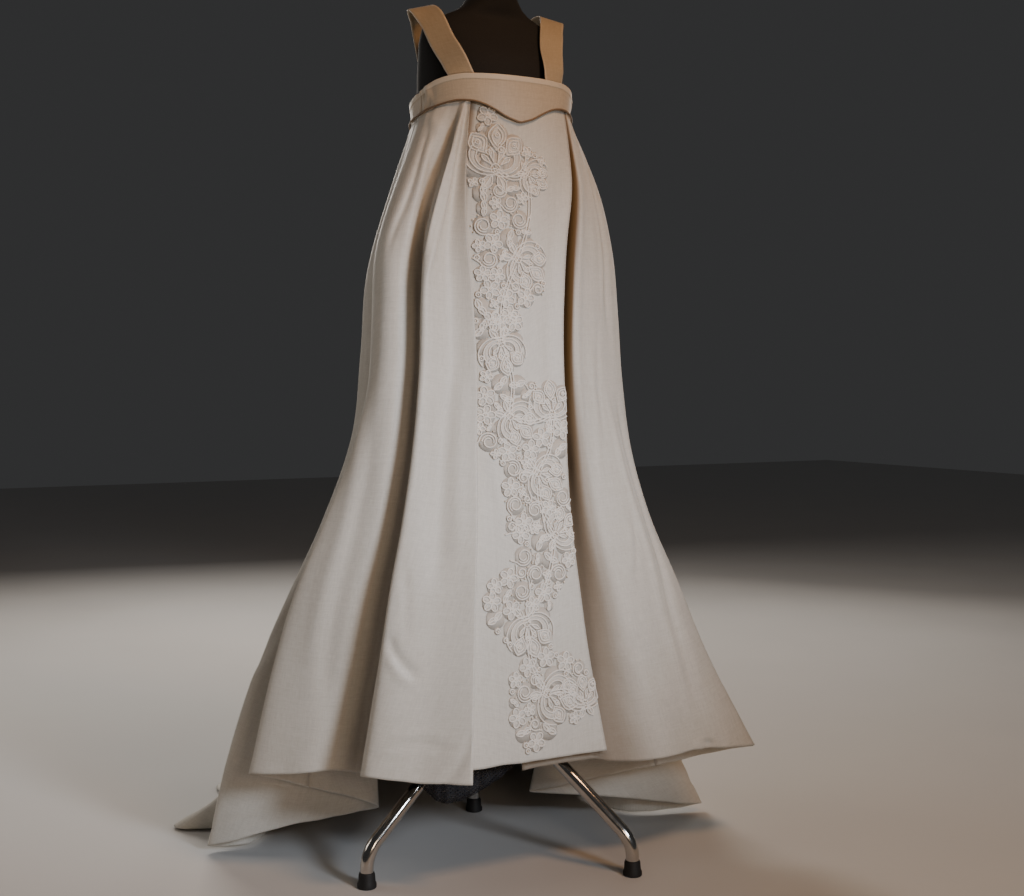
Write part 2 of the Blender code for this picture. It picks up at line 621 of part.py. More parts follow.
def add_lace(place, thread):
    """Star-shaped pieces on the centre panel, each a ring of spokes laid on its surface."""
    surface = front_surface()
    out = SILK / 2 + LACE_CLEAR + LACE_WALL / 2
    for number, row in enumerate(LACE, 1):
        motif = dict(zip(LACE_COLUMNS, row))
        x, z = motif.pop("x"), motif.pop("z")
        bm = bmesh.new()
        bmesh.ops.create_circle(bm, cap_ends=True, cap_tris=True, segments=LACE_SPOKES, radius=1.0)
        for vertex in bm.verts:
            spoke_turn = math.atan2(vertex.co.y, vertex.co.x)
            reach = motif_reach(spoke_turn, **motif) * vertex.co.length
            vertex.co = on_front(
                surface, x + reach * math.cos(spoke_turn), z + reach * math.sin(spoke_turn), out
            )
        mesh = bpy.data.meshes.new(f"lace_{number:02d}")
        bm.to_mesh(mesh)
        bm.free()
        mesh.shade_smooth()
        lace = add_object(f"lace_{number:02d}", mesh, *place, thread)
        thick = lace.modifiers.new("Wall", "SOLIDIFY")
        thick.thickness = LACE_WALL
        thick.offset = 0.0


# The dress form and its stand


def add_form(place, cover):
    rows = []
    for z in [row[0] for row in FORM]:
        ring = read(FORM, FORM_COLUMNS, z)
        ring["right"] = ring["left"] = ring["width"]
        angles = np.linspace(0, 360, FORM_SIDES, endpoint=False)
        rows.append([[*ring_point(angle, ring)[0], z] for angle in angles])
    mesh = tube_mesh("dress_form", rows, True)
    add_object("dress_form", mesh, *place, cover)


def add_cylinder(name, radius, low, high, at, place, surface):
    bm = bmesh.new()
    bmesh.ops.create_cone(
        bm, cap_ends=True, segments=24, radius1=radius, radius2=radius, depth=high - low
    )
    mesh = bpy.data.meshes.new(name)
    bm.to_mesh(mesh)
    bm.free()
    mesh.shade_smooth()
    mesh.set_sharp_from_angle(angle=math.radians(40))
    made = add_object(name, mesh, *place, surface)
    made.location = (*at, (low + high) / 2)
    return made


def add_stand(place, chrome, rubber):
    form_bottom = FORM[0][0]
    add_cylinder(
        "stand_pole", POLE_RADIUS, HUB_HIGH + SEAM_GAP, form_bottom - SEAM_GAP, (0, 0), place, chrome
    )
    add_cylinder("stand_hub", HUB_RADIUS, HUB_LOW, HUB_HIGH, (0, 0), place, chrome)
    shoulder = Vector((LEG_SHOULDER, 0, LEG_TOP))
    knee = Vector((LEG_REACH, 0, LEG_KNEE))
    slope = (knee - shoulder).normalized()
    for number, turn in enumerate(LEG_ANGLES, 1):
        curve = bpy.data.curves.new(f"stand_leg_{number}", "CURVE")
        curve.dimensions = "3D"
        curve.bevel_depth = LEG_RADIUS
        curve.bevel_resolution = 3
        curve.use_fill_caps = True
        before, after = knee - slope * LEG_BEND, knee - Vector((0, 0, LEG_BEND * 0.9))
        bend = []
        for share in np.linspace(0, 1, 7):
            bend.append(
                before * (1 - share) ** 2 + knee * 2 * share * (1 - share) + after * share**2
            )
        points = [Vector((HUB_RADIUS + SEAM_GAP, 0, LEG_TOP)), shoulder, *bend]
        if after.z > FOOT_HEIGHT + SEAM_GAP:
            points.append(Vector((LEG_REACH, 0, FOOT_HEIGHT + SEAM_GAP)))
        line = curve.splines.new("POLY")
        line.points.add(len(points) - 1)
        for spot, point in zip(line.points, points):
            spot.co = (*point, 1.0)
        leg = add_object(f"stand_leg_{number}", curve, *place, chrome)
        leg.rotation_euler = (0, 0, math.radians(turn))
        at = (LEG_REACH * math.cos(math.radians(turn)), LEG_REACH * math.sin(math.radians(turn)))
        add_cylinder(f"stand_foot_{number}", FOOT_RADIUS, 0.0, FOOT_HEIGHT, at, place, rubber)


def main():
    remove_everything()
    collection = bpy.data.collections.new("wedding_dress")
    bpy.context.scene.collection.children.link(collection)
    frame = bpy.data.objects.new("pole_axis", None)
    frame.location = (POLE_X, POLE_Y, 0.0)
    collection.objects.link(frame)
    place = (frame, collection)

    silk = material("ivory silk", (0.62, 0.54, 0.45), 0.55)
    band_silk = material("ivory silk band", (0.60, 0.49, 0.37), 0.50)
    net = material("blue-black net", (0.05, 0.06, 0.09), 0.70)
    thread = material("ivory lace thread", (0.70, 0.62, 0.54), 0.60)
    cover = material("black form cover", (0.012, 0.012, 0.013), 0.80)
    chrome = material("chromed tube", (0.75, 0.73, 0.70), 0.16, 1.0)
    rubber = material("black rubber", (0.02, 0.02, 0.02), 0.70)

    add_skirt(place, silk)
    add_net(place, net)
    add_bands(place, band_silk)
    add_piping(place, band_silk)
    add_buttons(place, band_silk)
    add_straps(place, band_silk)
    add_lace(place, thread)
    add_form(place, cover)
    add_stand(place, chrome, rubber)


main()
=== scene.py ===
"""Looks of a wedding dress on a limbless dress form with a tripod stand, in metres, +Z up.

Everything is worked out in the garment's own frame, which has the stand's pole on its Z axis and
centre front towards -Y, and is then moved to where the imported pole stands. The cloth comes from the
same tables as its solids: SECTIONS gives the rings that it would follow with no folds, and FOLDS
gives each fold. CREASES and the tables after it add what is too fine for the solids.
"""

import math
import random

import bmesh
import bpy
import numpy as np
from mathutils import Matrix, Vector, noise
from mathutils.bvhtree import BVHTree


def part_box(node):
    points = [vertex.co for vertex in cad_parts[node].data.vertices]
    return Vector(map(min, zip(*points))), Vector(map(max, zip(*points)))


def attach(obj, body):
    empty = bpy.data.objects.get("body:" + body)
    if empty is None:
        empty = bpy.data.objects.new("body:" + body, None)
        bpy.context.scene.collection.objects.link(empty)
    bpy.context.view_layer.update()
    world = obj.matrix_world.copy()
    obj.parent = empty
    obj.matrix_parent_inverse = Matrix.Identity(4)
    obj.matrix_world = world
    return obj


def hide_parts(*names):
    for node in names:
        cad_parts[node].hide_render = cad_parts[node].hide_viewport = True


# The waist seam and the band's upper edge, by the angle from centre front.
SEAM_COLUMNS = ("angle", "seam_z", "top_z")
SEAM = (
    (0, 1.301, 1.381),
    (8, 1.3085, 1.3811),
    (18, 1.3225, 1.3812),
    (28, 1.332, 1.3812),
    (40, 1.335, 1.3805),
    (62, 1.327, 1.372),
    (90, 1.3135, 1.35),
    (130, 1.298, 1.335),
    (180, 1.29, 1.329),
)
BAND_TOP_RING = {"right": 0.15, "left": 0.15, "front": 0.107, "back": 0.103}
SEAM_GAP = 0.0003

# Rings of the skirt with no folds. Level 0 is the seam and level 1 the hem. The shares say how far
# a fold has gone at that level from the ring to its place at the hem: hang is a fold that falls
# close to the form and then opens, sweep one that opens early, and trail one that lies on the floor
# at its end. Turn is the share of the way round from the seam's angle to the hip's, and pleat the
# share of a pleat's own height that stands out.
SECTION_COLUMNS = (
    "level", "right", "left", "front", "back", "squareness",
    "turn", "pleat", "hang", "sweep", "trail", "trail_drop",
)
SECTIONS = (
    (0, 0.148, 0.148, 0.104, 0.1, 2.2, 0, 0.07, 0, 0, 0, 0),
    (0.05, 0.168, 0.18, 0.105, 0.12, 2.2, 0.18, 0.45, 0, 0, 0.01, 0.056),
    (0.1, 0.189, 0.208, 0.106, 0.137, 2.2, 0.36, 0.75, 0, 0, 0.02, 0.117),
    (0.2, 0.221, 0.24, 0.108, 0.166, 2.2, 0.72, 1, 0, 0.01, 0.06, 0.237),
    (0.3, 0.224, 0.252, 0.112, 0.178, 2.2, 0.94, 1, 0, 0.02, 0.12, 0.365),
    (0.41, 0.226, 0.26, 0.116, 0.189, 2.1, 1, 0.9, 0.01, 0.06, 0.2, 0.497),
    (0.52, 0.231, 0.265, 0.12, 0.202, 2.1, 1, 0.75, 0.06, 0.22, 0.29, 0.633),
    (0.63, 0.235, 0.268, 0.123, 0.212, 2, 1, 0.55, 0.21, 0.47, 0.39, 0.769),
    (0.735, 0.238, 0.27, 0.125, 0.22, 2, 1, 0.35, 0.42, 0.7, 0.5, 0.894),
    (0.845, 0.24, 0.27, 0.126, 0.225, 2, 1, 0.15, 0.63, 0.86, 0.68, 0.987),
    (1, 0.24, 0.27, 0.126, 0.225, 2, 1, 0, 1, 1, 1, 1),
)

# The folds from the pleat on the wearer's right of the centre panel, round the back, to the pleat
# on the left. Angles are in degrees from centre front, - to the wearer's right. Lift is out from
# the ring all the way down, and pleat is out from it at the hip.
FOLD_COLUMNS = (
    "name", "seam_angle", "hip_angle", "lift", "pleat",
    "hem_x", "hem_y", "hem_z", "sweep", "train", "softness",
)
FOLDS = (
    ("right_return", -41, -29, -0.0034, -0.006, -0.158, -0.15, 0.192, 0, 0, 0.5),
    ("right_turn", -34.8, -22, -0.0034, -0.002, -0.133, -0.171, 0.19, 0, 0, 0.9),
    ("right_edge", -33.8, -21, 0, 0.001, -0.131, -0.181, 0.19, 0, 0, 0.5),
    ("right_hollow", -35.8, -33, 0, -0.006, -0.197, -0.137, 0.19, 0, 0, 1),
    ("right_ridge", -37.8, -48, 0, 0.018, -0.2841, -0.0875, 0.2, 0.35, 0, 0.6),
    ("right_valley", -43, -53, 0, -0.026, -0.2406, 0.0373, 0.172, 0.2, 0, 0.7),
    ("right_face", -54, -66, 0, -0.004, -0.3056, 0.0322, 0.184, 0.5, 0, 1),
    ("right_crest", -64, -76, 0, 0.006, -0.36, 0.0602, 0.178, 0.7, 0, 1),
    ("right_flute", -79, -88, 0, 0.003, -0.412, 0.12, 0.17, 0.78, 0, 0.7),
    ("right_inside", -88, -97, 0, -0.002, -0.3, 0.128, 0.13, 1, 0, 1),
    ("right_side", -98, -106, 0, -0.01, -0.157, 0.155, 0.065, 0.6, 0, 0.7),
    ("right_outside", -106, -113, 0, 0, -0.316, 0.175, 0.052, 0.9, 0.1, 1),
    ("right_back_flute", -114, -121, 0, 0.004, -0.445, 0.25, 0.014, 1.25, 0.2, 0.8),
    ("right_under", -121, -127, 0, 0, -0.368, 0.252, 0.005, 0.8, 0.25, 1),
    ("right_back_valley", -128, -133, 0, -0.008, -0.318, 0.33, 0.006, 0.5, 0.4, 0.8),
    ("right_train_flute", -137, -141, 0, 0.006, -0.464, 0.412, 0.004, 0.6, 0.6, 0.8),
    ("right_train_valley", -146, -149, 0, -0.006, -0.322, 0.49, 0.005, 0.5, 0.7, 0.9),
    ("right_train_edge", -154, -156, 0, 0.005, -0.31, 0.64, 0.004, 0.5, 0.85, 0.9),
    ("right_train_hollow", -163, -164, 0, -0.004, -0.186, 0.69, 0.005, 0.5, 0.9, 0.9),
    ("right_train_end", -171, -171, 0, 0.003, -0.13, 0.815, 0.004, 0, 1, 1),
    ("centre_back", 180, 180, 0, 0, 0, 0.85, 0.004, 0, 1, 1),
    ("left_train_end", 171, 171, 0, 0.003, 0.14, 0.81, 0.004, 0, 1, 1),
    ("left_train_hollow", 163, 164, 0, -0.004, 0.205, 0.68, 0.005, 0.5, 0.9, 0.9),
    ("left_train_edge", 154, 156, 0, 0.005, 0.345, 0.625, 0.004, 0.5, 0.85, 0.9),
    ("left_train_valley", 146, 149, 0, -0.006, 0.35, 0.47, 0.005, 0.5, 0.7, 0.9),
    ("left_train_flute", 137, 141, 0, 0.006, 0.5, 0.36, 0.004, 0.6, 0.6, 0.8),
    ("left_back_valley", 128, 133, 0, -0.008, 0.33, 0.235, 0.006, 0.4, 0.4, 0.8),
    ("left_under", 121, 127, 0, 0, 0.35, 0.085, 0.005, 0.5, 0.25, 1),
    ("left_back_flute", 114, 121, 0, 0.004, 0.487, 0.032, 0.016, 0.5, 0.2, 0.8),
    ("left_outside", 106, 113, 0, 0, 0.29, 0.056, 0.05, 0.4, 0.1, 1),
    ("left_side", 98, 106, 0, -0.01, 0.146, 0.112, 0.068, 0.2, 0, 0.7),
    ("left_inside", 88, 97, 0, -0.002, 0.325, -0.045, 0.13, 0.1, 0, 1),
    ("left_flute", 78, 86, 0, 0.004, 0.478, -0.141, 0.17, 0, 0, 0.8),
    ("left_crest", 68, 68, 0, 0.003, 0.42, -0.161, 0.18, 0.1, 0, 1),
    ("left_valley", 60, 50, 0, -0.004, 0.343, -0.15, 0.183, 0.3, 0, 0.9),
    ("left_face", 54, 35, 0, 0, 0.265, -0.163, 0.181, 0.1, 0, 1),
    ("left_ridge", 47, 22, 0, 0.006, 0.192, -0.15, 0.18, 0, 0, 0.9),
    ("left_hollow", 44, 17, -0.006, -0.018, 0.122, -0.126, 0.186, 0, 0, 0.8),
    ("left_underlay", 30, 10, -0.006, -0.004, 0.05, -0.12, 0.185, 0, 0, 1),
    ("left_underlay_end", 12, 0, -0.006, -0.004, 0.001, -0.112, 0.18, 0, 0, 1),
)

# The centre panel lies between the two pleats, under the right one and over the left one.
CENTRE_FOLDS = (
    ("centre_hidden", -42, -32, -0.0064, -0.009, -0.14, -0.142, 0.205, 0, 0, 1),
    ("centre_left", -33, -24, -0.0062, -0.007, -0.112, -0.15, 0.205, 0, 0, 1),
    ("centre_left_mid", -17, -12, -0.003, -0.001, -0.055, -0.149, 0.205, 0, 0, 1),
    ("centre_mid", 0, -2, -0.001, 0, 0.01, -0.147, 0.204, 0, 0, 1),
    ("centre_right_mid", 22, 6, 0, 0, 0.082, -0.148, 0.205, 0, 0, 1),
    ("centre_right", 44, 15, 0, 0, 0.151, -0.149, 0.205, 0, 0, 1),
)

# Each panel: its first and last fold, the width of its columns at the hem, and the size of its cut.
FRONT_COLUMN, BACK_COLUMN = 0.0075, 0.0115
PANELS = {
    "panel_right_front": (FOLDS, "right_return", "right_inside", FRONT_COLUMN, (0.71, 1.23), 0.46),
    "panel_right_back": (FOLDS, "right_inside", "centre_back", BACK_COLUMN, (1.60, 1.62), 0.90),
    "panel_left_back": (FOLDS, "centre_back", "left_inside", BACK_COLUMN, (1.97, 1.62), 0.99),
    "panel_left_front": (FOLDS, "left_inside", "left_underlay_end", FRONT_COLUMN, (0.70, 1.24), 0.49),
    "panel_centre_front": (
        CENTRE_FOLDS, "centre_hidden", "centre_right", FRONT_COLUMN, (0.31, 1.16), 0.27
    ),
}

# How thick the cloth is drawn. Only its two faces and its edges show.
SILK_WALL, BAND_WALL, STRAP_WALL, NET_WALL, LACE_WALL = 0.0010, 0.0024, 0.0016, 0.0006, 0.0002
# The cloth has more rows in its turned hem, of which the highest is at this level.
CLOTH_ROWS, HEM_ROWS, HEM_LEVEL = 132, 12, 0.955
# The turned hem: how deep it is, how far it stands out, and how much of that has faded at its edge.
HEM_TURN, HEM_STAND, HEM_FADE = 0.028, 0.0004, 0.9
# Seams pull the cloth in along a panel's edge: how deep and how wide.
SEAM_PULL, SEAM_PULL_WIDTH = 0.0007, 0.0025
# The hem's edge waves up and down, as far up as the reach, and stays above the floor.
HEM_WAVE, HEM_WAVE_SIZE, HEM_WAVE_REACH, HEM_WAVE_SHIFT = 0.0013, (0.040, 9.0), 0.06, 9
FLOOR_CLEAR = 0.0022
# How far the cloth that lies inside the waist ring runs up behind the band, how far inside it has
# to lie to do so in full, and the level at which that starts.
TUCK, TUCK_RECESS, TUCK_LEVEL = 0.006, 0.006, 0.016
# The centre panel is held flatter by its lace than the others.
CENTRE_CALM = 0.45

# The slack of the cloth: how high its swells are, their size across and down, the seed's shift, and
# the edge that they keep to, with how far from it they reach.
SLACK = (
    (0.0012, 0.090, 0.34, 0, None, 0),
    (0.0004, 0.034, 0.11, 7, None, 0),
    (0.0012, 0.011, 0.30, 3, "seam", 0.09),
    (0.0014, 0.045, 0.50, 5, "hem", 0.05),
)

# Creases pressed or pulled into the cloth: how far out each stands, how wide it is, and its route,
# as places counted in folds from the first and as levels.
CREASES = {
    "panel_right_front": (
        (
            0.0055, 0.006, (3.85, 3.62, 3.46, 3.38, 3.42, 3.62, 3.9, 4),
            (0.01, 0.05, 0.095, 0.136, 0.177, 0.227, 0.275, 0.34),
        ),
        (
            -0.005, 0.008, (4.55, 4.36, 4.22, 4.14, 4.16, 4.34, 4.6),
            (0.02, 0.06, 0.1, 0.14, 0.18, 0.23, 0.28),
        ),
        (-0.0012, 0.01, (2.95, 2.88, 2.86, 2.92, 3.12, 3.34), (0.04, 0.1, 0.14, 0.19, 0.25, 0.34)),
        (0.0026, 0.006, (4, 4, 4, 4, 4), (0.32, 0.45, 0.6, 0.76, 0.9)),
        (-0.0044, 0.006, (7, 6.76, 6.46, 6.42, 6.7, 6.95), (0.018, 0.055, 0.105, 0.15, 0.19, 0.235)),
        (0.0042, 0.009, (6.62, 6.2, 5.96, 5.84, 5.8, 5.9), (0.035, 0.08, 0.12, 0.16, 0.205, 0.26)),
        (-0.0056, 0.01, (6.02, 5.62, 5.32, 5.1, 5.16, 5.2), (0.04, 0.095, 0.15, 0.2, 0.26, 0.32)),
        (0.0022, 0.005, (5.34, 5.02, 4.78), (0.11, 0.16, 0.215)),
        (0.002, 0.006, (5.9, 6.3, 7.2, 7.8), (0.045, 0.03, 0.014, 0.012)),
        (-0.002, 0.006, (3.75, 3.6, 3.54), (0.69, 0.75, 0.815)),
        (-0.0046, 0.007, (3.95, 3.72, 3.5, 3.26), (0.79, 0.82, 0.84, 0.856)),
        (0.0034, 0.006, (3.9, 3.6, 3.3), (0.822, 0.848, 0.866)),
        (-0.0022, 0.006, (4, 3.6, 3.1, 2.42), (0.985, 0.955, 0.944, 0.952)),
        (0.0016, 0.006, (3.9, 3.5, 3, 2.4), (0.972, 0.944, 0.932, 0.938)),
        (-0.0034, 0.008, (2, 2.3, 2.6), (0.925, 0.965, 1)),
        (0.0026, 0.016, (2.6, 2.75, 2.7), (0.38, 0.52, 0.7)),
        (-0.003, 0.018, (3.3, 3.24, 3.1), (0.42, 0.56, 0.74)),
        (0.004, 0.016, (8.1, 7.11, 7.05, 7.05), (0.4, 0.586, 0.736, 0.886)),
        (-0.0044, 0.016, (6.9, 6.57, 6.5, 6.29), (0.42, 0.64, 0.8, 0.923)),
        (0.0026, 0.012, (5.8, 5.7, 5.74), (0.52, 0.7, 0.88)),
    ),
    "panel_right_back": (
        (-0.003, 0.01, (11.6, 11.83, 12.1), (0.64, 0.686, 0.73)),
        (-0.0014, 0.006, (12.2, 11.83, 11.2), (0.975, 0.968, 0.968)),
        (-0.0012, 0.005, (12.1, 11.7, 11.1), (0.945, 0.94, 0.945)),
        (-0.003, 0.016, (13.6, 13.9, 14.2), (0.3, 0.52, 0.7)),
        (0.0026, 0.014, (15.6, 15.4, 15.7), (0.26, 0.42, 0.62)),
        (-0.0026, 0.012, (17.4, 17.7, 17.5), (0.38, 0.52, 0.66)),
        (0.003, 0.02, (16.4, 17, 16.9), (0.76, 0.84, 0.93)),
        (-0.0034, 0.016, (18.3, 18.9, 18.6), (0.8, 0.87, 0.95)),
        (0.0024, 0.012, (19.2, 19.5, 19.3), (0.64, 0.74, 0.86)),
    ),
    "panel_left_back": (
        (-0.003, 0.014, (20.7, 21, 20.8), (0.7, 0.8, 0.9)),
        (0.0026, 0.014, (22.4, 22.2, 22.6), (0.33, 0.48, 0.64)),
        (-0.0028, 0.013, (24.5, 24.3, 24.6), (0.28, 0.43, 0.58)),
        (0.003, 0.018, (23.3, 23.8, 23.6), (0.78, 0.86, 0.94)),
        (-0.0026, 0.014, (26.3, 26.6, 26.4), (0.42, 0.56, 0.74)),
        (-0.0016, 0.008, (27.4, 27.9, 28.4), (0.95, 0.955, 0.95)),
        (0.0022, 0.012, (28.2, 28.4, 28.2), (0.5, 0.64, 0.78)),
    ),
    "panel_left_front": (
        (
            0.008, 0.014, (36.05, 36, 36, 35.95, 35.85, 35.75, 35.7),
            (0.06, 0.14, 0.3, 0.45, 0.6, 0.76, 0.93),
        ),
        (-0.01, 0.016, (36.9, 36.75, 36.7, 36.75), (0.46, 0.6, 0.8, 0.998)),
        (
            0.004, 0.007, (34.4, 34.16, 34, 33.8, 34, 33.9, 33.92, 33.92),
            (0.4, 0.48, 0.57, 0.668, 0.768, 0.832, 0.905, 0.996),
        ),
        (
            -0.0062, 0.009, (33.7, 33.5, 33.26, 33.22, 33.5, 33.5, 33.56, 33.62),
            (0.41, 0.482, 0.568, 0.668, 0.768, 0.845, 0.909, 0.996),
        ),
        (-0.003, 0.006, (34.05, 34.2, 34.56, 34.5), (0.61, 0.655, 0.716, 0.742)),
        (0.0022, 0.006, (34.28, 34.46, 34.8), (0.63, 0.68, 0.726)),
        (0.0032, 0.01, (35.6, 35.35, 35.06, 34.72), (0.812, 0.845, 0.891, 0.934)),
        (-0.0026, 0.01, (35.25, 34.95, 34.66, 34.4), (0.8, 0.838, 0.88, 0.92)),
        (-0.0024, 0.01, (35.9, 35.7, 35.5), (0.85, 0.89, 0.95)),
        (-0.0024, 0.008, (34.47, 33.94, 33.78, 33.94, 33.8), (0.05, 0.127, 0.205, 0.286, 0.37)),
        (0.0024, 0.008, (34.8, 34.36, 34.2, 34.4), (0.06, 0.14, 0.22, 0.336)),
        (-0.0018, 0.008, (33.3, 33.2, 33.4), (0.2, 0.3, 0.4)),
        (0.0018, 0.009, (35.1, 35, 35.2), (0.33, 0.47, 0.6)),
        (-0.0016, 0.007, (32.3, 32.8, 33.3), (0.9, 0.88, 0.9)),
        (-0.0016, 0.006, (34.6, 34.72, 34.66), (0.3, 0.42, 0.52)),
    ),
    "panel_centre_front": (
        (0.006, 0.018, (4.96, 4.96, 4.96, 4.96), (0.06, 0.2, 0.4, 0.56)),
        (-0.003, 0.007, (2.55, 2.62, 2.66), (0.01, 0.02, 0.036)),
        (-0.001, 0.008, (3.6, 4.1, 4.3), (0.86, 0.9, 0.96)),
        (0.0008, 0.01, (3.9, 4, 3.9), (0.3, 0.42, 0.54)),
        (-0.001, 0.01, (1.6, 1.8, 1.7), (0.56, 0.66, 0.78)),
    ),
}
CREASE_STEPS = 36
# A crease fades over this share of its route at each end, unless it runs out at the hem, and it
# moves only the cloth within this many folds of it.
CREASE_FADE, CREASE_HEM, CREASE_REACH = 0.25, 0.985, 1.6

# Where the cloth beside the left pleat is pulled sideways: the places between which it drifts and
# those between which it comes back, and how far it goes at each level.
DRIFT_PLACES = {
    "panel_centre_front": (3.2, 4.6, 9.0, 9.5),
    "panel_left_front": (34.6, 35.9, 37.4, 39.0),
}
DRIFT_COLUMNS = ("level", "panel_centre_front", "panel_left_front")
DRIFT = (
    (0, 0, 0),
    (0.05, -0.006, -0.007),
    (0.12, -0.009, -0.011),
    (0.2, -0.007, -0.01),
    (0.3, 0.003, -0.004),
    (0.42, 0.009, 0),
    (0.56, 0.008, 0),
    (0.72, 0, 0),
    (1, 0, 0),
)

# Painted shade: the silk is coloured brown deep in its pleats and in the gaps beside them, where
# shade falls: how brown it is at each level, the places between which that deepens, and those
# between which it fades again.
PAINTED_PLEAT_SHADE_COLUMNS = ("level", "painted_shade", "start", "full", "still", "end")
PAINTED_PLEAT_SHADE = {
    "panel_centre_front": (
        (
            (0, 0.9, -2, -1, 1.06, 1.22), (0.16, 0.8, -2, -1, 1.06, 1.2), (0.3, 0.2, -2, -1, 1, 1.1),
            (1, 0.2, -2, -1, 0.8, 0.9),
        ),
    ),
    "panel_right_front": (
        ((0, 0.5, -2, -1, 0.4, 0.9), (0.5, 0.45, -2, -1, 0.4, 0.9), (1, 0.3, -2, -1, 0.4, 0.9)),
        ((0, 0.06, 4.2, 4.8, 5.2, 6), (0.12, 0.14, 4.2, 4.8, 5.2, 6), (1, 0.14, 4.2, 4.8, 5.2, 6)),
        (
            (0, 0.2, 1, 1.6, 2.3, 3.1), (0.12, 0.3, 1, 1.6, 2.3, 3.1), (0.24, 0.16, 1, 1.6, 2.2, 3),
            (0.34, 0, 1, 1.6, 2.2, 3),
        ),
    ),
    "panel_left_front": (
        (
            (0, 0.8, 35.95, 36.2, 41, 42), (0.06, 1, 35.9, 36.12, 41, 42),
            (0.4, 1, 35.9, 36.14, 41, 42), (0.58, 0.85, 35.5, 36.15, 41, 42),
            (0.8, 0.72, 35.05, 36.1, 41, 42), (1, 0.6, 34.9, 36.2, 41, 42),
        ),
    ),
}

# The band: its grid, the turned edge along its top, and the rumples on both sides of each side
# seam, which start and are highest at these degrees from it.
BAND_ROWS, BAND_SIDE = 40, 80
BAND_TURN, BAND_TURN_STAND, BAND_TURN_EDGE = 0.0085, 0.0011, 0.0015
RUMPLE, RUMPLE_START, RUMPLE_FULL, RUMPLE_SIZE = 0.0062, 4, 7, (0.009, 0.026)
BAND_SWELL, BAND_SWELL_SIZE, SWELL_SEED, RUMPLE_SEED = 0.0005, (0.030, 0.030), 400, 410
BAND_PIECES = (
    ("band_front", -BAND_SIDE, BAND_SIDE, 97, (0.38, 0.080), 0.020),
    ("band_back_left", BAND_SIDE, 180, 61, (0.23, 0.040), 0.009),
    ("band_back_right", -180, -BAND_SIDE, 61, (0.23, 0.040), 0.009),
)
# The solid band's wall, which the piping and the buttons lie on.
BAND_SOLID_WALL = 0.0030
PIPING_RADIUS, PIPING_OUT, PIPING_POINTS, PIPING_END = 0.0018, 0.0022, 240, 179
BUTTON_RADIUS, BUTTON_DEPTH = 0.0060, 0.0040
BUTTON_HEIGHTS, BUTTON_ANGLE = (1.3015, 1.3190), -175.0

# The straps run from the band's top edge in front, over the shoulder, to its top edge behind. Each
# is plain this far to each side of its middle, and the rest is its stitched edge.
STRAP_WIDTH, STRAP_LENGTH, STRAP_PLAIN = 0.045, 0.43, 0.0196
STRAP_ENDS = {"strap_right": (-41.5, -158.0), "strap_left": (28.0, 158.0)}
# Places on the way: x, y, z, where the strap's face looks, in degrees from the front, and how far
# up it looks.
STRAP_PATHS = {
    "strap_right": (
        (-0.113, -0.07, 1.41, -52, 12),
        (-0.122, -0.048, 1.4425, -52, 22),
        (-0.1305, -0.023, 1.485, -56, 38),
        (-0.133, 0.018, 1.513, -80, 75),
        (-0.115, 0.05, 1.499, -145, 52),
        (-0.086, 0.085, 1.43, -160, 15),
    ),
    "strap_left": (
        (0.0765, -0.0895, 1.41, 10, 14),
        (0.084, -0.07, 1.4425, 0, 26),
        (0.0992, -0.045, 1.485, 5, 42),
        (0.118, -0.008, 1.515, 40, 74),
        (0.113, 0.042, 1.502, 150, 60),
        (0.086, 0.085, 1.43, 160, 15),
    ),
}
STRAP_SAMPLES, STRAP_ACROSS, STRAP_BLEND = 90, 13, 8

# The net flounce inside the skirt, only its lowest part, which shows under the hem. Its own hem is
# uneven and rides over the stand's legs.
NET_RING = {"right": 0.186, "left": 0.188, "front": 0.097, "back": 0.145, "squareness": 2.0}
NET_TOP, NET_ROWS, NET_AROUND = 0.400, 26, 420
NET_WAVES, NET_WAVE_DEPTH = 11, 0.004
NET_RUFFLES, NET_RUFFLE_DEPTH, NET_RUFFLE_START = 47, 0.0012, 1.3
NET_HEM_COLUMNS = ("angle", "hem_z")
NET_HEM = (
    (-180, 0.2), (-150, 0.178), (-110, 0.166), (-78, 0.165), (-64, 0.16), (-46, 0.132), (-27, 0.14),
    (0, 0.19), (22, 0.22), (50, 0.212), (95, 0.18), (135, 0.182), (164, 0.204), (180, 0.2),
)

# The dress form, from its flat underside to the top of its neck.
FORM_COLUMNS = ("z", "width", "front", "back", "squareness")
FORM = (
    (0.8, 0.15, 0.086, 0.108, 2.2), (0.85, 0.162, 0.092, 0.12, 2.2), (0.94, 0.17, 0.094, 0.128, 2.2),
    (1.04, 0.15, 0.086, 0.108, 2.2), (1.14, 0.124, 0.076, 0.086, 2.1), (1.23, 0.13, 0.082, 0.084, 2.1),
    (1.3, 0.137, 0.089, 0.088, 2.1), (1.37, 0.14, 0.094, 0.091, 2.1), (1.42, 0.139, 0.083, 0.088, 2.1),
    (1.46, 0.137, 0.058, 0.074, 2), (1.487, 0.124, 0.043, 0.056, 2), (1.5, 0.098, 0.037, 0.048, 2),
    (1.512, 0.07, 0.042, 0.046, 2), (1.53, 0.052, 0.046, 0.046, 2), (1.6, 0.047, 0.047, 0.047, 2),
)
FORM_ROWS, FORM_AROUND, FORM_SHARP = 90, 96, 50

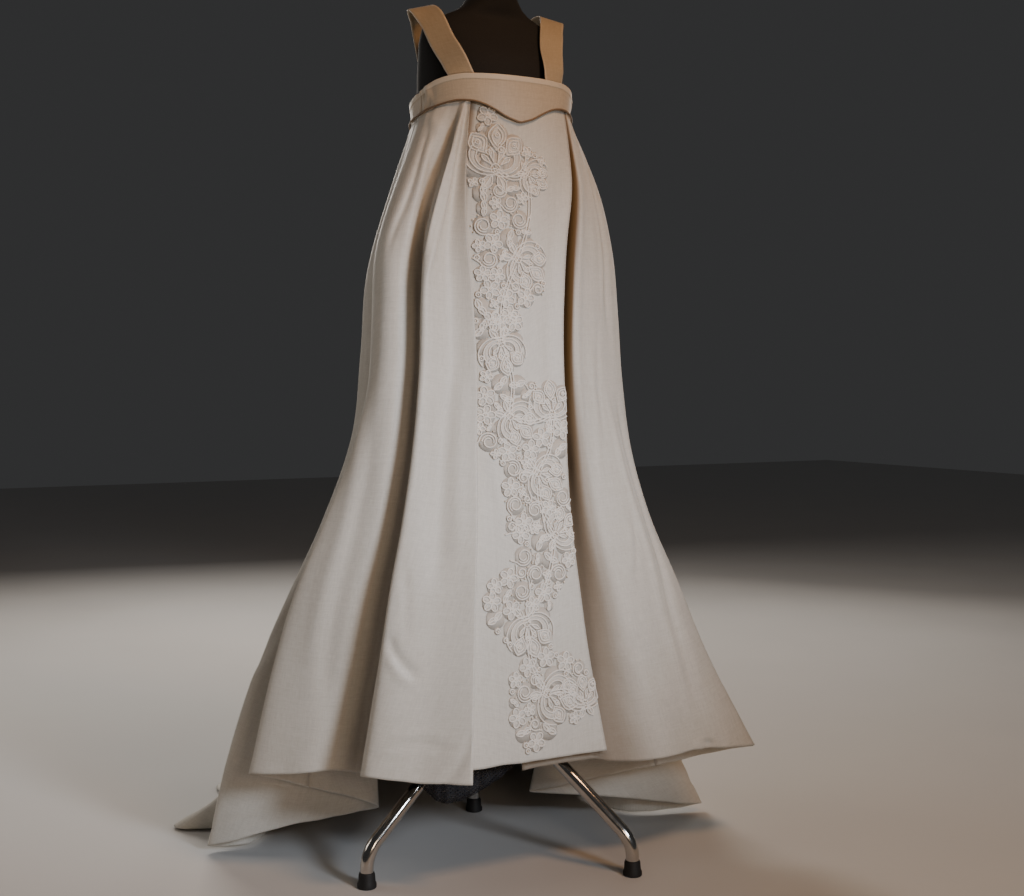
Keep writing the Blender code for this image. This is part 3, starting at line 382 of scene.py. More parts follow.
# The stand: the pole, the hub with its rounded edges and a groove, the bent legs and their feet.
POLE_RADIUS = 0.0125
HUB_RADIUS, HUB_LOW, HUB_HIGH = 0.0210, 0.236, 0.292
HUB_EDGE, HUB_GROOVE, HUB_GROOVE_DOWN = 0.0016, 0.0008, (0.0120, 0.0112, 0.0104, 0.0096)
LEG_RADIUS, LEG_TOP, LEG_SHOULDER, LEG_REACH = 0.0115, 0.262, 0.040, 0.264
LEG_KNEE, LEG_BEND, LEG_BEND_POINTS = 0.058, 0.030, 24
LEG_ANGLES = (189.5, 309.5, 69.5)
FOOT_RADIUS, FOOT_HEIGHT = 0.0165, 0.0260
# How far in from its radius a foot's side is at each height.
FOOT_SIDE = (
    (0.0015, 0), (0, 0.0015), (0, 0.007), (0.0020, 0.011), (0.0026, 0.022), (0.0040, FOOT_HEIGHT)
)
TURNED_SIDES, TURNED_SHARP = 48, 40

# The lace: the lilies by their place on the centre panel, the way that each faces and its size, and
# how far to each side the lace reaches, between which smaller motifs fill it.
LILIES = (
    (-0.046, 1.218, 86, 0.072),
    (0.016, 1.212, -28, 0.04),
    (-0.006, 1.064, -34, 0.056),
    (-0.04, 0.918, -78, 0.052),
    (-0.026, 0.792, -42, 0.05),
    (0.056, 0.796, 96, 0.054),
    (0.024, 0.694, -30, 0.052),
    (0.056, 0.586, 38, 0.05),
    (-0.004, 0.44, -74, 0.058),
    (0.032, 0.316, -24, 0.06),
    (0.108, 0.292, 98, 0.046),
)
LACE_EDGE_COLUMNS = ("z", "from_x", "to_x")
LACE_EDGE = (
    (0.222, -0.01, 0.014), (0.25, -0.024, 0.04), (0.282, -0.034, 0.126), (0.34, -0.036, 0.122),
    (0.372, -0.016, 0.07), (0.404, -0.04, 0.04), (0.45, -0.08, 0.046), (0.498, -0.08, 0.062),
    (0.53, -0.03, 0.086), (0.6, -0.034, 0.098), (0.65, -0.04, 0.084), (0.706, -0.04, 0.08),
    (0.742, -0.076, 0.078), (0.82, -0.08, 0.078), (0.856, -0.072, 0), (0.93, -0.084, -0.006),
    (0.985, -0.084, 0), (1.02, -0.078, 0.044), (1.08, -0.084, 0.042), (1.12, -0.076, 0.012),
    (1.165, -0.074, 0.004), (1.186, -0.086, 0.034), (1.246, -0.086, 0.034), (1.264, -0.088, -0.01),
    (1.3, -0.066, -0.04),
)
# Each run of lace: the first and last of the solid motifs that it stands for, its top and its foot.
LACE_RUNS = ((1, 6, 1.310, 0.955), (7, 13, 0.955, 0.600), (14, 21, 0.600, 0.222))
# The filling motifs, largest first. Below the plain size, one is only a ring round a pearl.
FILLING_SIZES = (0.0165, 0.0135, 0.0108, 0.0084, 0.0060)
FILLING_TRIES, FILLING_SEED, PLAIN_SIZE, FIVE_LOBED_SIZE = 2600, 40, 0.008, 0.010
# How close two motifs may lie, as a share of each one's size.
ROOM_NEW, ROOM_OLD = 0.80, 0.94
# The rounds that a lily's petals and lips take up: the way from its middle, how far and how large.
LILY_ROOMS = (
    (-36, 0.74, 0.27), (0, 0.80, 0.28), (36, 0.74, 0.27), (-84, 0.50, 0.30), (84, 0.50, 0.30)
)
LILY_HEART = 0.36
CORD_RADIUS, CORD_STEP, CORD_GAP = 0.0015, 0.0028, 0.0050
PEARL_RADIUS, PEARL_RING = 0.0017, 0.0042
STEM_BOW = 0.012
GROUND_SPREAD, GROUND_POINTS = 1.10, 9
# How far the lace's parts stand out from the middle of the cloth, and how much further each strip
# of a kind than the one before, so that no two lie in one plane.
LACE_GROUND_OUT, LACE_FILL_OUT, LACE_CORD_OUT, PEARL_OUT = 0.0008, 0.0014, 0.0018, 0.0026
STRIP_STEP = 0.2e-6

# Soft studio lights: where each is, what it looks at, its power and size, its colour, and for one
# that fades out towards the edge of its beam, the beam's angle in degrees.
LIGHTS = (
    ("key", (0.34, -2.35, 1.30), (-0.16, -0.10, 0.64), 200.0, 0.25, "#E8F2FF", 40.0),
    ("warm", (0.30, -1.40, 2.50), (0.00, -0.05, 1.15), 17.0, 0.5, "#FFC692", 0),
    ("fill", (-0.60, -2.70, 0.95), (-0.15, -0.10, 0.35), 8.0, 0.5, "#FFE2C2", 0),
    ("back", (0.40, 3.00, 2.20), (0.00, 0.20, 0.60), 55.0, 1.5, "#FFF6EC", 0),
    ("side_right", (-2.30, 1.90, 1.60), (0.00, 0.20, 0.60), 13.0, 1.2, "#FFF6EC", 0),
    ("side_left", (2.50, 1.90, 1.60), (0.00, 0.20, 0.60), 13.0, 1.2, "#FFF6EC", 0),
)
WORLD_COLOUR, WORLD_STRENGTH = "#D9DADC", 0.05
FLOOR_HALF, FLOOR_PARTS = 9.0, 8
CAMERA_AT, CAMERA_TURN = (-1.182, -2.225, 0.855), -27.97
CAMERA_LENS, CAMERA_SENSOR, CAMERA_SHIFT = 49.22, 36.0, (0.0205, -0.0664)


# Reading the tables


def values(table, columns, name):
    return np.array([row[columns.index(name)] for row in table], float)


def between(s, start, leaving, end, arriving):
    """A smooth curve from start to end, read at the share s, with its ways at the two ends."""
    return (
        (1 + 2 * s) * (1 - s) ** 2 * start
        + s * (1 - s) ** 2 * leaving
        + s * s * (3 - 2 * s) * end
        + s * s * (s - 1) * arriving
    )


def smooth(xs, ys, x):
    """A smooth line through a table's values, read at x."""
    slopes = np.gradient(ys, xs, axis=0)
    i = int(np.clip(np.searchsorted(xs, x) - 1, 0, len(xs) - 2))
    span = xs[i + 1] - xs[i]
    return between((x - xs[i]) / span, ys[i], span * slopes[i], ys[i + 1], span * slopes[i + 1])


def read(table, columns, x):
    """Every column of a table at x, a value of its first column."""
    xs = values(table, columns, columns[0])
    return {name: float(smooth(xs, values(table, columns, name), x)) for name in columns[1:]}


def ring_point(angle, ring):
    """A point of a ring and the way out from it, at an angle in degrees from centre front."""
    s, c = math.sin(math.radians(angle)), math.cos(math.radians(angle))
    width = ring["left"] if s > 0 else ring["right"]
    depth = ring["front"] if c > 0 else ring["back"]
    power = ring["squareness"]
    across, along = abs(s) ** (2 / power), abs(c) ** (2 / power)
    point = np.array([math.copysign(width * across, s), -math.copysign(depth * along, c)])
    out_x = math.copysign(across ** (power - 1) / width, s)
    out_y = -math.copysign(along ** (power - 1) / depth, c)
    outward = np.array([out_x, out_y])
    return point, outward / np.linalg.norm(outward)


def ease(x):
    x = np.clip(x, 0.0, 1.0)
    return x * x * (3 - 2 * x)


# Meshes


def finished(bm, name, sharp=None):
    """The mesh of a bmesh, smooth but for edges sharper than an angle in degrees."""
    mesh = bpy.data.meshes.new(name)
    bm.to_mesh(mesh)
    bm.free()
    mesh.shade_smooth()
    if sharp:
        mesh.set_sharp_from_angle(angle=math.radians(sharp))
    return mesh


def add_grid(bm, points):
    """Adds a grid through rows of points, and gives the row and column of each of its vertices."""
    rows, columns = len(points), len(points[0])
    made = bmesh.ops.create_grid(bm, x_segments=columns - 1, y_segments=rows - 1, size=0.5)
    spots = {}
    for vertex in made["verts"]:
        column = round((vertex.co.x + 0.5) * (columns - 1))
        row = round((0.5 - vertex.co.y) * (rows - 1))
        spots[vertex] = (row, column)
        vertex.co = Vector(points[row][column])
    return spots


def grid_mesh(name, points, lengths, painted_shade=None, tube=False, capped=False, sharp=None):
    """A sheet or tube through rows of points, with its lengths in metres as its UV map."""
    bm = bmesh.new()
    layer = bm.loops.layers.uv.new("cloth")
    # A float attribute: how much brown painted shade each point has.
    tone = bm.verts.layers.float.new("painted_shade")
    spots = add_grid(bm, points)
    for vertex, spot in spots.items():
        vertex[tone] = 0.0 if painted_shade is None else painted_shade[spot]
    for face in bm.faces:
        for loop in face.loops:
            loop[layer].uv = lengths[spots[loop.vert]]
    if tube:
        bmesh.ops.remove_doubles(bm, verts=bm.verts, dist=1e-6)
        if capped:
            bmesh.ops.holes_fill(bm, edges=bm.edges, sides=0)
        bmesh.ops.recalc_face_normals(bm, faces=bm.faces)
    return finished(bm, name, sharp)


def turned(name, profile, at=(0, 0)):
    """A turned shape from its profile of radii and heights, bottom first."""
    bm = bmesh.new()
    line = [bm.verts.new((radius, 0, z)) for radius, z in profile]
    edges = [bm.edges.new(pair) for pair in zip(line, line[1:])]
    bmesh.ops.spin(
        bm, geom=line + edges, cent=(0, 0, 0), axis=(0, 0, 1), angle=2 * math.pi,
        steps=TURNED_SIDES, use_merge=True,
    )
    bmesh.ops.holes_fill(bm, edges=bm.edges, sides=0)
    bmesh.ops.recalc_face_normals(bm, faces=bm.faces)
    bmesh.ops.translate(bm, verts=bm.verts, vec=(at[0], at[1], 0))
    return finished(bm, name, TURNED_SHARP)


def curve_data(name, lines, radius, sides, closed=()):
    """Round cords or tubes along lines of points."""
    curve = bpy.data.curves.new(name, "CURVE")
    curve.dimensions = "3D"
    curve.bevel_depth = radius
    curve.bevel_resolution = sides
    curve.use_fill_caps = True
    for number, points in enumerate(lines):
        line = curve.splines.new("POLY")
        line.points.add(len(points) - 1)
        line.use_cyclic_u = number in closed
        for spot, point in zip(line.points, points):
            spot.co = (*point, 1.0)
    return curve


def add_piece(name, data, nodes, surface, wall=None, middle=True):
    """A piece at its place round the pole, which stands for solids of the frame.

    A wall gives a sheet its thickness, with the sheet in the middle of it or on its outside.
    """
    data.transform(Matrix.Translation(POLE))
    data.materials.clear()
    data.materials.append(surface)
    made = bpy.data.objects.new(name, data)
    bpy.context.scene.collection.objects.link(made)
    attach(made, "root")
    if nodes:
        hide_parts(*nodes)
    if wall:
        thick = made.modifiers.new("Wall", "SOLIDIFY")
        thick.thickness = wall
        if middle:
            thick.offset = 0.0
    return made


# The waist seam and the skirt


def seam_height(x, y):
    """The height of the waist seam over a point of the waist ring."""
    seam_ring = read(SECTIONS, SECTION_COLUMNS, 0.0)
    depth = seam_ring["front"] if y < 0 else seam_ring["back"]
    power = seam_ring["squareness"]
    across = (abs(x) / seam_ring["left"]) ** (power / 2)
    along = (abs(y) / depth) ** (power / 2)
    angle = math.degrees(math.atan2(across, -math.copysign(along, y)))
    return read(SEAM, SEAM_COLUMNS, min(abs(angle), 180.0))["seam_z"]


def fold_points(folds, level):
    """Where each fold passes at a level."""
    here = read(SECTIONS, SECTION_COLUMNS, level)
    found = []
    for row in folds:
        fold = dict(zip(FOLD_COLUMNS, row))
        angle = fold["seam_angle"] + here["turn"] * (fold["hip_angle"] - fold["seam_angle"])
        point, outward = ring_point(angle, here)
        share = here["hang"] + fold["sweep"] * (here["sweep"] - here["hang"])
        share = share + fold["train"] * (here["trail"] - share)
        stand = fold["lift"] + fold["pleat"] * here["pleat"]
        hem = np.array([fold["hem_x"], fold["hem_y"]])
        found.append((1 - share) * (point + stand * outward) + share * hem)
    return np.array(found)


def along_folds(points, softness, places):
    """The smooth line through the folds, read at places counted in folds."""
    chords = np.diff(points, axis=0)
    ways = np.vstack([chords[:1], points[2:] - points[:-2], chords[-1:]])
    ways = ways / np.linalg.norm(ways, axis=1, keepdims=True) * softness[:, None]
    i = np.clip(np.floor(places).astype(int), 0, len(chords) - 1)
    length = np.linalg.norm(chords[i], axis=1, keepdims=True)
    share = (places - i)[:, None]
    return between(share, points[i], length * ways[i], points[i + 1], length * ways[i + 1])


def cloth_points(folds, places, levels):
    """The cloth's points, a row for each level and a column for each place."""
    order = np.arange(len(folds), dtype=float)
    softness = values(folds, FOLD_COLUMNS, "softness")
    hem_z, train = (
        np.array([smooth(order, values(folds, FOLD_COLUMNS, name), p) for p in places])
        for name in ("hem_z", "train")
    )
    seam = along_folds(fold_points(folds, 0.0), softness, places)
    top = np.array([seam_height(x, y) for x, y in seam]) - 2 * SEAM_GAP
    rows = []
    for level in levels:
        flat = along_folds(fold_points(folds, level), softness, places)
        drop = level + train * (read(SECTIONS, SECTION_COLUMNS, level)["trail_drop"] - level)
        rows.append(np.column_stack([flat, top + drop * (hem_z - top)]))
    return np.array(rows)


def fold_places(folds, first, last, column_width):
    """Places across a panel, closer together where its folds are narrow at the hem."""
    names = [row[0] for row in folds]
    hem = fold_points(folds, 1.0)
    places = []
    for i in range(names.index(first), names.index(last)):
        count = max(2, round(float(np.linalg.norm(hem[i + 1] - hem[i])) / column_width))
        places.extend(i + step / count for step in range(count))
    return np.array([*places, float(names.index(last))])


def cloth_lengths(points):
    """Lengths along a grid of cloth: across from its middle column, and down from its top row."""
    across = np.linalg.norm(np.diff(points, axis=1), axis=2).cumsum(axis=1)
    across = np.pad(across, ((0, 0), (1, 0)))
    across = across - across[:, across.shape[1] // 2][:, None]
    down = np.linalg.norm(np.diff(points, axis=0), axis=2).cumsum(axis=0)
    return np.stack([across, np.pad(down, ((1, 0), (0, 0)))], axis=2)


def outward_of(points):
    """The way out from a grid whose rows go down and whose columns go clockwise from above."""
    out = np.cross(np.gradient(points, axis=1), np.gradient(points, axis=0))
    return out / np.linalg.norm(out, axis=2, keepdims=True)


def noise_over(lengths, across, down, seed):
    """Smooth noise from about -1 to 1 over a grid, of a size across and a size down."""
    flat = lengths.reshape(-1, 2)
    found = [noise.noise(Vector((u / across, v / down, seed))) for u, v in flat]
    return np.array(found).reshape(lengths.shape[:2])


def on_cloth(points, places, levels, line):
    """Points of the cloth's grid at places and levels between its own."""
    column = np.interp(line[:, 0], places, np.arange(len(places)))
    row = np.interp(line[:, 1], levels, np.arange(len(levels)))
    i = row.astype(int).clip(0, len(levels) - 2)
    j = column.astype(int).clip(0, len(places) - 2)
    s, t = (row - i)[:, None], (column - j)[:, None]
    above = (1 - t) * points[i, j] + t * points[i, j + 1]
    below = (1 - t) * points[i + 1, j] + t * points[i + 1, j + 1]
    return (1 - s) * above + s * below


def along_line(flat, spots):
    """How far each point is from a line of spots, and where on it that is, counted in spots."""
    apart = np.linalg.norm(flat[:, None] - spots[None], axis=2)
    nearest = apart.argmin(axis=1)
    distance = apart[np.arange(len(flat)), nearest]
    off = flat - spots[nearest]
    part = np.zeros(len(flat))
    for side in (-1, 1):
        along = spots[(nearest + side).clip(0, len(spots) - 1)] - spots[nearest]
        reach = (off * along).sum(axis=1) / np.maximum((along**2).sum(axis=1), 1e-12)
        reach = reach.clip(0, 1)
        closer = np.linalg.norm(off - reach[:, None] * along, axis=1)
        part = np.where(closer < distance, side * reach, part)
        distance = np.minimum(distance, closer)
    return distance, nearest, part


def crease_heights(points, places, levels, creases):
    """How far out the creases of a panel move each of its points."""
    flat = points.reshape(-1, 3)
    at = np.tile(places, len(levels))
    total = np.zeros(len(flat))
    for depth, width, *route in creases:
        route = np.column_stack(route)
        order = np.arange(len(route), dtype=float)
        steps = np.linspace(0, order[-1], CREASE_STEPS)
        line = np.array([smooth(order, route, step) for step in steps])
        distance, nearest, part = along_line(flat, on_cloth(points, places, levels, line))
        share = (nearest + part) / (CREASE_STEPS - 1)
        rise, fall = ease(share / CREASE_FADE), ease((1 - share) / CREASE_FADE)
        fade = np.where(line[nearest, 1] > CREASE_HEM, rise, rise * fall)
        off = np.abs(at - np.interp(nearest + part, np.arange(CREASE_STEPS), line[:, 0]))
        total += depth * np.exp(-((distance / width) ** 2)) * fade * ease(CREASE_REACH - off)
    return total.reshape(points.shape[:2])


def painted_pleat_shading(name, places, levels):
    """How much brown painted shade a panel's silk has at each of its points."""
    painted_shade = np.zeros((len(levels), len(places)))
    for band in PAINTED_PLEAT_SHADE.get(name, ()):
        for row, level in enumerate(levels):
            here = read(band, PAINTED_PLEAT_SHADE_COLUMNS, level)
            deepens = ease((places - here["start"]) / (here["full"] - here["start"]))
            fades = ease((here["end"] - places) / (here["end"] - here["still"]))
            painted_shade[row] = np.maximum(painted_shade[row], here["painted_shade"] * deepens * fades)
    return painted_shade


def skirt_panel(name, seed):
    """The points of a panel with its creases and slack, their lengths, and their painted shade."""
    folds, first, last, column_width = PANELS[name][:4]
    is_centre = folds is CENTRE_FOLDS
    places = fold_places(folds, first, last, column_width)
    body = np.linspace(0, HEM_LEVEL, CLOTH_ROWS)
    levels = np.concatenate([body, np.linspace(HEM_LEVEL, 1, HEM_ROWS + 1)[1:]])
    points = cloth_points(folds, places, levels)
    if name in DRIFT_PLACES:
        start, full, still, end = DRIFT_PLACES[name]
        share = ease((places - start) / (full - start)) * ease((end - places) / (end - still))
        drift = np.array([read(DRIFT, DRIFT_COLUMNS, level)[name] for level in levels])
        points[:, :, 0] += drift[:, None] * share
    lengths = cloth_lengths(points)
    across, down = lengths[:, :, 0], lengths[:, :, 1]
    above_hem = lengths[-1, :, 1] - down
    edge = np.minimum(np.abs(across - across[:, :1]), np.abs(across - across[:, -1:]))
    calm = CENTRE_CALM if is_centre else 1.0

    height = crease_heights(points, places, levels, CREASES[name])
    for stand, wide, long, shift, keeps_to, reach in SLACK:
        near = {"seam": down, "hem": above_hem}.get(keeps_to)
        near = 1.0 if near is None else ease(1 - near / reach)
        held = 1.0 if keeps_to == "hem" else calm
        height += held * stand * noise_over(lengths, wide, long, seed + shift) * near
    turn = ease(1 - above_hem / HEM_TURN * HEM_FADE) * (above_hem < HEM_TURN)
    height += HEM_STAND * turn
    height -= SEAM_PULL * np.exp(-((edge / SEAM_PULL_WIDTH) ** 2)) * calm
    out = outward_of(points) * (-1.0 if is_centre else 1.0)
    points = points + out * height[:, :, None]

    wave = HEM_WAVE * noise_over(lengths, *HEM_WAVE_SIZE, seed + HEM_WAVE_SHIFT)
    wave *= ease(1 - above_hem / HEM_WAVE_REACH)
    points[:, :, 2] = np.maximum(points[:, :, 2] + wave, FLOOR_CLEAR)
    recess = -np.interp(places, np.arange(len(folds)), values(folds, FOLD_COLUMNS, "lift"))
    tuck = TUCK * np.clip(recess / TUCK_RECESS, 0, 1)
    points[:, :, 2] += tuck * np.clip(1 - levels / TUCK_LEVEL, 0, 1)[:, None]
    # The brown painted shade deep in the pleats and gaps.
    painted_shade = painted_pleat_shading(name, places, levels)
    if is_centre:
        points, lengths, painted_shade = points[:, ::-1], lengths[:, ::-1], painted_shade[:, ::-1]
    return points, lengths, painted_shade


def add_skirt(silk):
    """The five panels, and the centre one's points for laying the lace on."""
    centre = None
    for order, name in enumerate(PANELS):
        points, lengths, painted_shade = skirt_panel(name, 11.0 * order)
        cloth = name[len("panel_"):] + "_cloth"
        mesh = grid_mesh(cloth, points, lengths, painted_shade)
        panel = add_piece(cloth, mesh, [name], silk, SILK_WALL)
        if name == "panel_centre_front":
            centre = points
    return centre


# The band, the piping, the buttons and the straps


def waist_ring():
    return read(SECTIONS, SECTION_COLUMNS, 0.0)


def band_top_ring():
    return dict(waist_ring(), **BAND_TOP_RING)


def band_grid(first, last, count):
    """The band's points between two angles, its top row first, and their lengths."""
    low_ring, high_ring = waist_ring(), band_top_ring()
    grid = []
    for share in np.linspace(1.0, 0.0, BAND_ROWS):
        row = []
        for angle in np.linspace(first, last, count):
            low, _ = ring_point(angle, low_ring)
            high, _ = ring_point(angle, high_ring)
            edge = read(SEAM, SEAM_COLUMNS, abs(angle))
            z = edge["seam_z"] + SEAM_GAP + share * (edge["top_z"] - edge["seam_z"] - SEAM_GAP)
            row.append([*(low + share * (high - low)), z])
        grid.append(row)
    grid = np.array(grid)[:, ::-1]
    lengths = cloth_lengths(grid)
    off_seam = np.abs(np.abs(np.linspace(last, first, count)) - BAND_SIDE)
    rumple = np.exp(-(((off_seam - RUMPLE_FULL) / RUMPLE_FULL) ** 2))
    rumple *= ease(off_seam / RUMPLE_START)
    height = BAND_SWELL * noise_over(lengths, *BAND_SWELL_SIZE, first + SWELL_SEED)
    height += RUMPLE * rumple * noise_over(lengths, *RUMPLE_SIZE, first + RUMPLE_SEED)
    above_turn = BAND_TURN + BAND_TURN_EDGE - lengths[:, :, 1]
    height += BAND_TURN_STAND * ease(above_turn / BAND_TURN_EDGE)
    return grid + outward_of(grid) * height[:, :, None], lengths


def add_bands(silk):
    for name, first, last, count, flat, area in BAND_PIECES:
        cloth = name + "_cloth"
        mesh = grid_mesh(cloth, *band_grid(first, last, count))
        band = add_piece(cloth, mesh, [name], silk, BAND_WALL)


def add_piping(silk):
    """A cord in a bias strip, along the waist seam."""
    low_ring = waist_ring()
    line = []
    for angle in np.linspace(-PIPING_END, PIPING_END, PIPING_POINTS):
        point, outward = ring_point(angle, low_ring)
        point = point + outward * (BAND_SOLID_WALL / 2 + SEAM_GAP + PIPING_OUT)
        line.append([*point, read(SEAM, SEAM_COLUMNS, abs(angle))["seam_z"]])
    cord = curve_data("piping_cord", [line], PIPING_RADIUS, 3)
    add_piece("piping_cord", cord, ["piping"], silk)


def add_buttons(silk):
    """Two domed buttons covered in the band's silk."""
    (x, y), _ = ring_point(BUTTON_ANGLE, band_top_ring())
    out = BAND_SOLID_WALL / 2 + BUTTON_DEPTH / 2 + SEAM_GAP
    for number, height in enumerate(BUTTON_HEIGHTS, 1):
        bm = bmesh.new()
        bmesh.ops.create_uvsphere(bm, u_segments=28, v_segments=14, radius=BUTTON_RADIUS)
        bmesh.ops.scale(bm, verts=bm.verts, vec=(1.0, BUTTON_DEPTH / BUTTON_RADIUS / 2, 1.0))
        bmesh.ops.translate(bm, verts=bm.verts, vec=(x, y + out, height))
        name = f"covered_button_{number}"
        add_piece(name, finished(bm, name), [f"button_{number}"], silk)


def band_edge(angle, side):
    """A point of the band's top edge, to a side of a strap's middle, and the way the edge faces."""
    ring = band_top_ring()
    _, outward = ring_point(angle, ring)
    degree = np.linalg.norm(ring_point(angle + 0.5, ring)[0] - ring_point(angle - 0.5, ring)[0])
    beside_it = angle + side * STRAP_WIDTH / 2 / degree
    x, y = ring_point(beside_it, ring)[0]
    z = read(SEAM, SEAM_COLUMNS, abs(beside_it))["top_z"] + 2 * SEAM_GAP
    return np.array([x, y, z]), math.degrees(math.atan2(outward[0], -outward[1]))


def strap_grid(name):
    """A strap's points from the band in front to the band behind, and their lengths."""
    front, front_heading = band_edge(STRAP_ENDS[name][0], 0)
    back, back_heading = band_edge(STRAP_ENDS[name][1], 0)
    path = [(*front, front_heading, 0), *STRAP_PATHS[name], (*back, back_heading, 0)]
    table = np.array(path, float)
    order = np.arange(len(table), dtype=float)
    steps = np.linspace(0, order[-1], STRAP_SAMPLES)
    middles = np.array([smooth(order, table, step) for step in steps])
    ways = np.gradient(middles[:, :3], axis=0)
    sides = np.linspace(1, -1, STRAP_ACROSS)
    rows = []
    for (x, y, z, heading, pitch), way in zip(middles, ways):
        heading, pitch = math.radians(heading), math.radians(pitch)
        flat = math.cos(pitch)
        face = np.array([flat * math.sin(heading), -flat * math.cos(heading), math.sin(pitch)])
        across = np.cross(face, way)
        across = across / np.linalg.norm(across) * STRAP_WIDTH / 2
        rows.append([np.array([x, y, z]) - side * across for side in sides])
    rows = np.array(rows)
    for end, angle, flip in ((0, STRAP_ENDS[name][0], 1), (-1, STRAP_ENDS[name][1], -1)):
        shift = np.array([band_edge(angle, flip * side)[0] for side in sides]) - rows[end]
        for step in range(STRAP_BLEND):
            rows[step if end == 0 else -1 - step] += shift * (1 - step / STRAP_BLEND)
    return rows, cloth_lengths(rows)


def add_straps(silk):
    for name in STRAP_PATHS:
        cloth = name + "_cloth"
        mesh = grid_mesh(cloth, *strap_grid(name))
        strap = add_piece(cloth, mesh, [name], silk, STRAP_WALL)


# The lace, drawn flat in the centre panel's x and z. A spot is a motif's middle and the way that it
# faces, in degrees from +X, counterclockwise from the front.


def placed(points, spot):
    """Points drawn round the origin and facing +X, turned and moved to a spot."""
    x, z, turn = spot
    s, c = math.sin(math.radians(turn)), math.cos(math.radians(turn))
    points = np.atleast_2d(points)
    across, up = points[:, 0], points[:, 1]
    return np.column_stack([x + across * c - up * s, z + across * s + up * c])


def facing(spot, more):
    return spot[0], spot[1], spot[2] + more


class Lace:
    """The cords, the fills between two lines, the grounds and the pearls of a run of lace."""

    def __init__(self):
        self.cords, self.fills, self.grounds, self.pearls = [], [], [], []

    def cord(self, spot, line, closed=False):
        self.cords.append((placed(line, spot), closed))

    def fill(self, spot, left, right):
        self.fills.append((placed(left, spot), placed(right, spot)))

    def pearl(self, spot, far=0.0):
        self.pearls.append(placed([far, 0], spot)[0])


def resampled(points, step, closed=False):
    """The same line with points a step apart."""
    if closed:
        points = np.vstack([points, points[:1]])
    run = np.concatenate([[0], np.linalg.norm(np.diff(points, axis=0), axis=1).cumsum()])
    at = np.linspace(0, run[-1], max(4, round(run[-1] / step)) + 1)
    if closed:
        at = at[:-1]
    return np.column_stack([np.interp(at, run, points[:, 0]), np.interp(at, run, points[:, 1])])


def petal_sides(start, tip, width, fullness):
    """The two sides of a petal along +X, from its foot to its tip."""
    share = np.linspace(0, 1, 19)
    half = width / 2 * np.sin(math.pi * share**fullness)
    x = start + (tip - start) * share
    return np.column_stack([x, half]), np.column_stack([x, -half])


def outline(left, right):
    return np.vstack([left, right[-2:0:-1]])


def curl(length):
    """A line that starts along +X and curls up to the left, ever tighter."""
    heading = np.radians(170 * np.linspace(0, 1, 60) ** 1.3)
    steps = np.column_stack([np.cos(heading), np.sin(heading)]) * length / 60
    return np.vstack([[0, 0], steps.cumsum(axis=0)])


def beside(points, gap):
    """A line that keeps a gap to the left of another."""
    way = np.gradient(points, axis=0)
    way /= np.linalg.norm(way, axis=1, keepdims=True)
    return points + np.column_stack([-way[:, 1], way[:, 0]]) * gap


def circle(radius, count=14):
    turns = np.linspace(0, 2 * math.pi, count, endpoint=False)
    return np.column_stack([np.cos(turns), np.sin(turns)]) * radius


def draw_petal(lace, spot, start, tip, width, fullness, vein=False):
    """A filled petal with a corded edge, and a cord down its middle where it has a vein."""
    left, right = petal_sides(start, tip, width, fullness)
    lace.fill(spot, left, right)
    lace.cord(spot, outline(left, right), True)
    if vein:
        line = np.linspace(start, start + 0.86 * (tip - start), 12)
        lace.cord(spot, np.column_stack([line, np.zeros(12)]))


def draw_eye(lace, spot, start, tip, width):
    """A petal with a double outline, and a ring round a pearl in its middle."""
    draw_petal(lace, spot, start, tip, width, 1.15)
    span = tip - start
    inner = petal_sides(start + 0.16 * span, tip - 0.16 * span, width * 0.62, 1.1)
    lace.cord(spot, outline(*inner), True)
    middle = start + 0.56 * span
    lace.cord(spot, circle(0.13 * width, 8) + (middle, 0), True)
    lace.pearl(spot, middle)


def draw_lip(lace, spot, size, hand):
    """A petal that turns back on itself, in rows of cord one outside the other."""
    lines = []
    for row in range(3):
        line = curl((0.92 + 0.16 * row) * size) * (1, hand)
        lines.append(beside(line, -hand * CORD_GAP * row)[: len(line) - 5 * row])
        lace.cord(spot, lines[-1])
    lace.fill(spot, lines[0][:50:3], lines[1][:50:3])


def draw_lily(lace, spot, size):
    """Three eyed petals with stamens between them, and a lip that turns back on each side."""
    for off in (-36, 0, 36):
        far = 1.0 if off else 1.10
        draw_eye(lace, facing(spot, off), 0.44 * size, far * size, 0.42 * size)
    for off, far in ((-48, 0.46), (-18, 0.52), (18, 0.52), (48, 0.46)):
        draw_petal(lace, facing(spot, off), 0.14 * size, far * size, 0.10 * size, 1.6)
        lace.pearl(facing(spot, off), far * size)
    for hand in (-1, 1):
        draw_lip(lace, facing(spot, hand * 104), size, -hand)
        leaf = facing(spot, hand * 152)
        draw_petal(lace, leaf, 0.16 * size, 0.60 * size, 0.22 * size, 1.0, vein=True)
    lace.cord((*spot[:2], 0), circle(0.12 * size), True)
    for k in range(5):
        lace.pearl(facing(spot, 72 * k), PEARL_RING)


def draw_floret(lace, spot, size):
    """A small flower of four or five round lobes round a ring."""
    lobes = 5 if size > FIVE_LOBED_SIZE else 4
    for k in range(lobes):
        lobe = facing(spot, 360 * k / lobes)
        lace.cord(lobe, circle(0.34 * size, 12) * (1.20, 1.0) + (0.62 * size, 0), True)
        left, right = petal_sides(0.22 * size, 0.98 * size, 0.62 * size, 1.0)
        lace.fill(lobe, left[::3], right[::3])
    lace.cord(spot, circle(0.20 * size, 8), True)
    lace.pearl(spot)


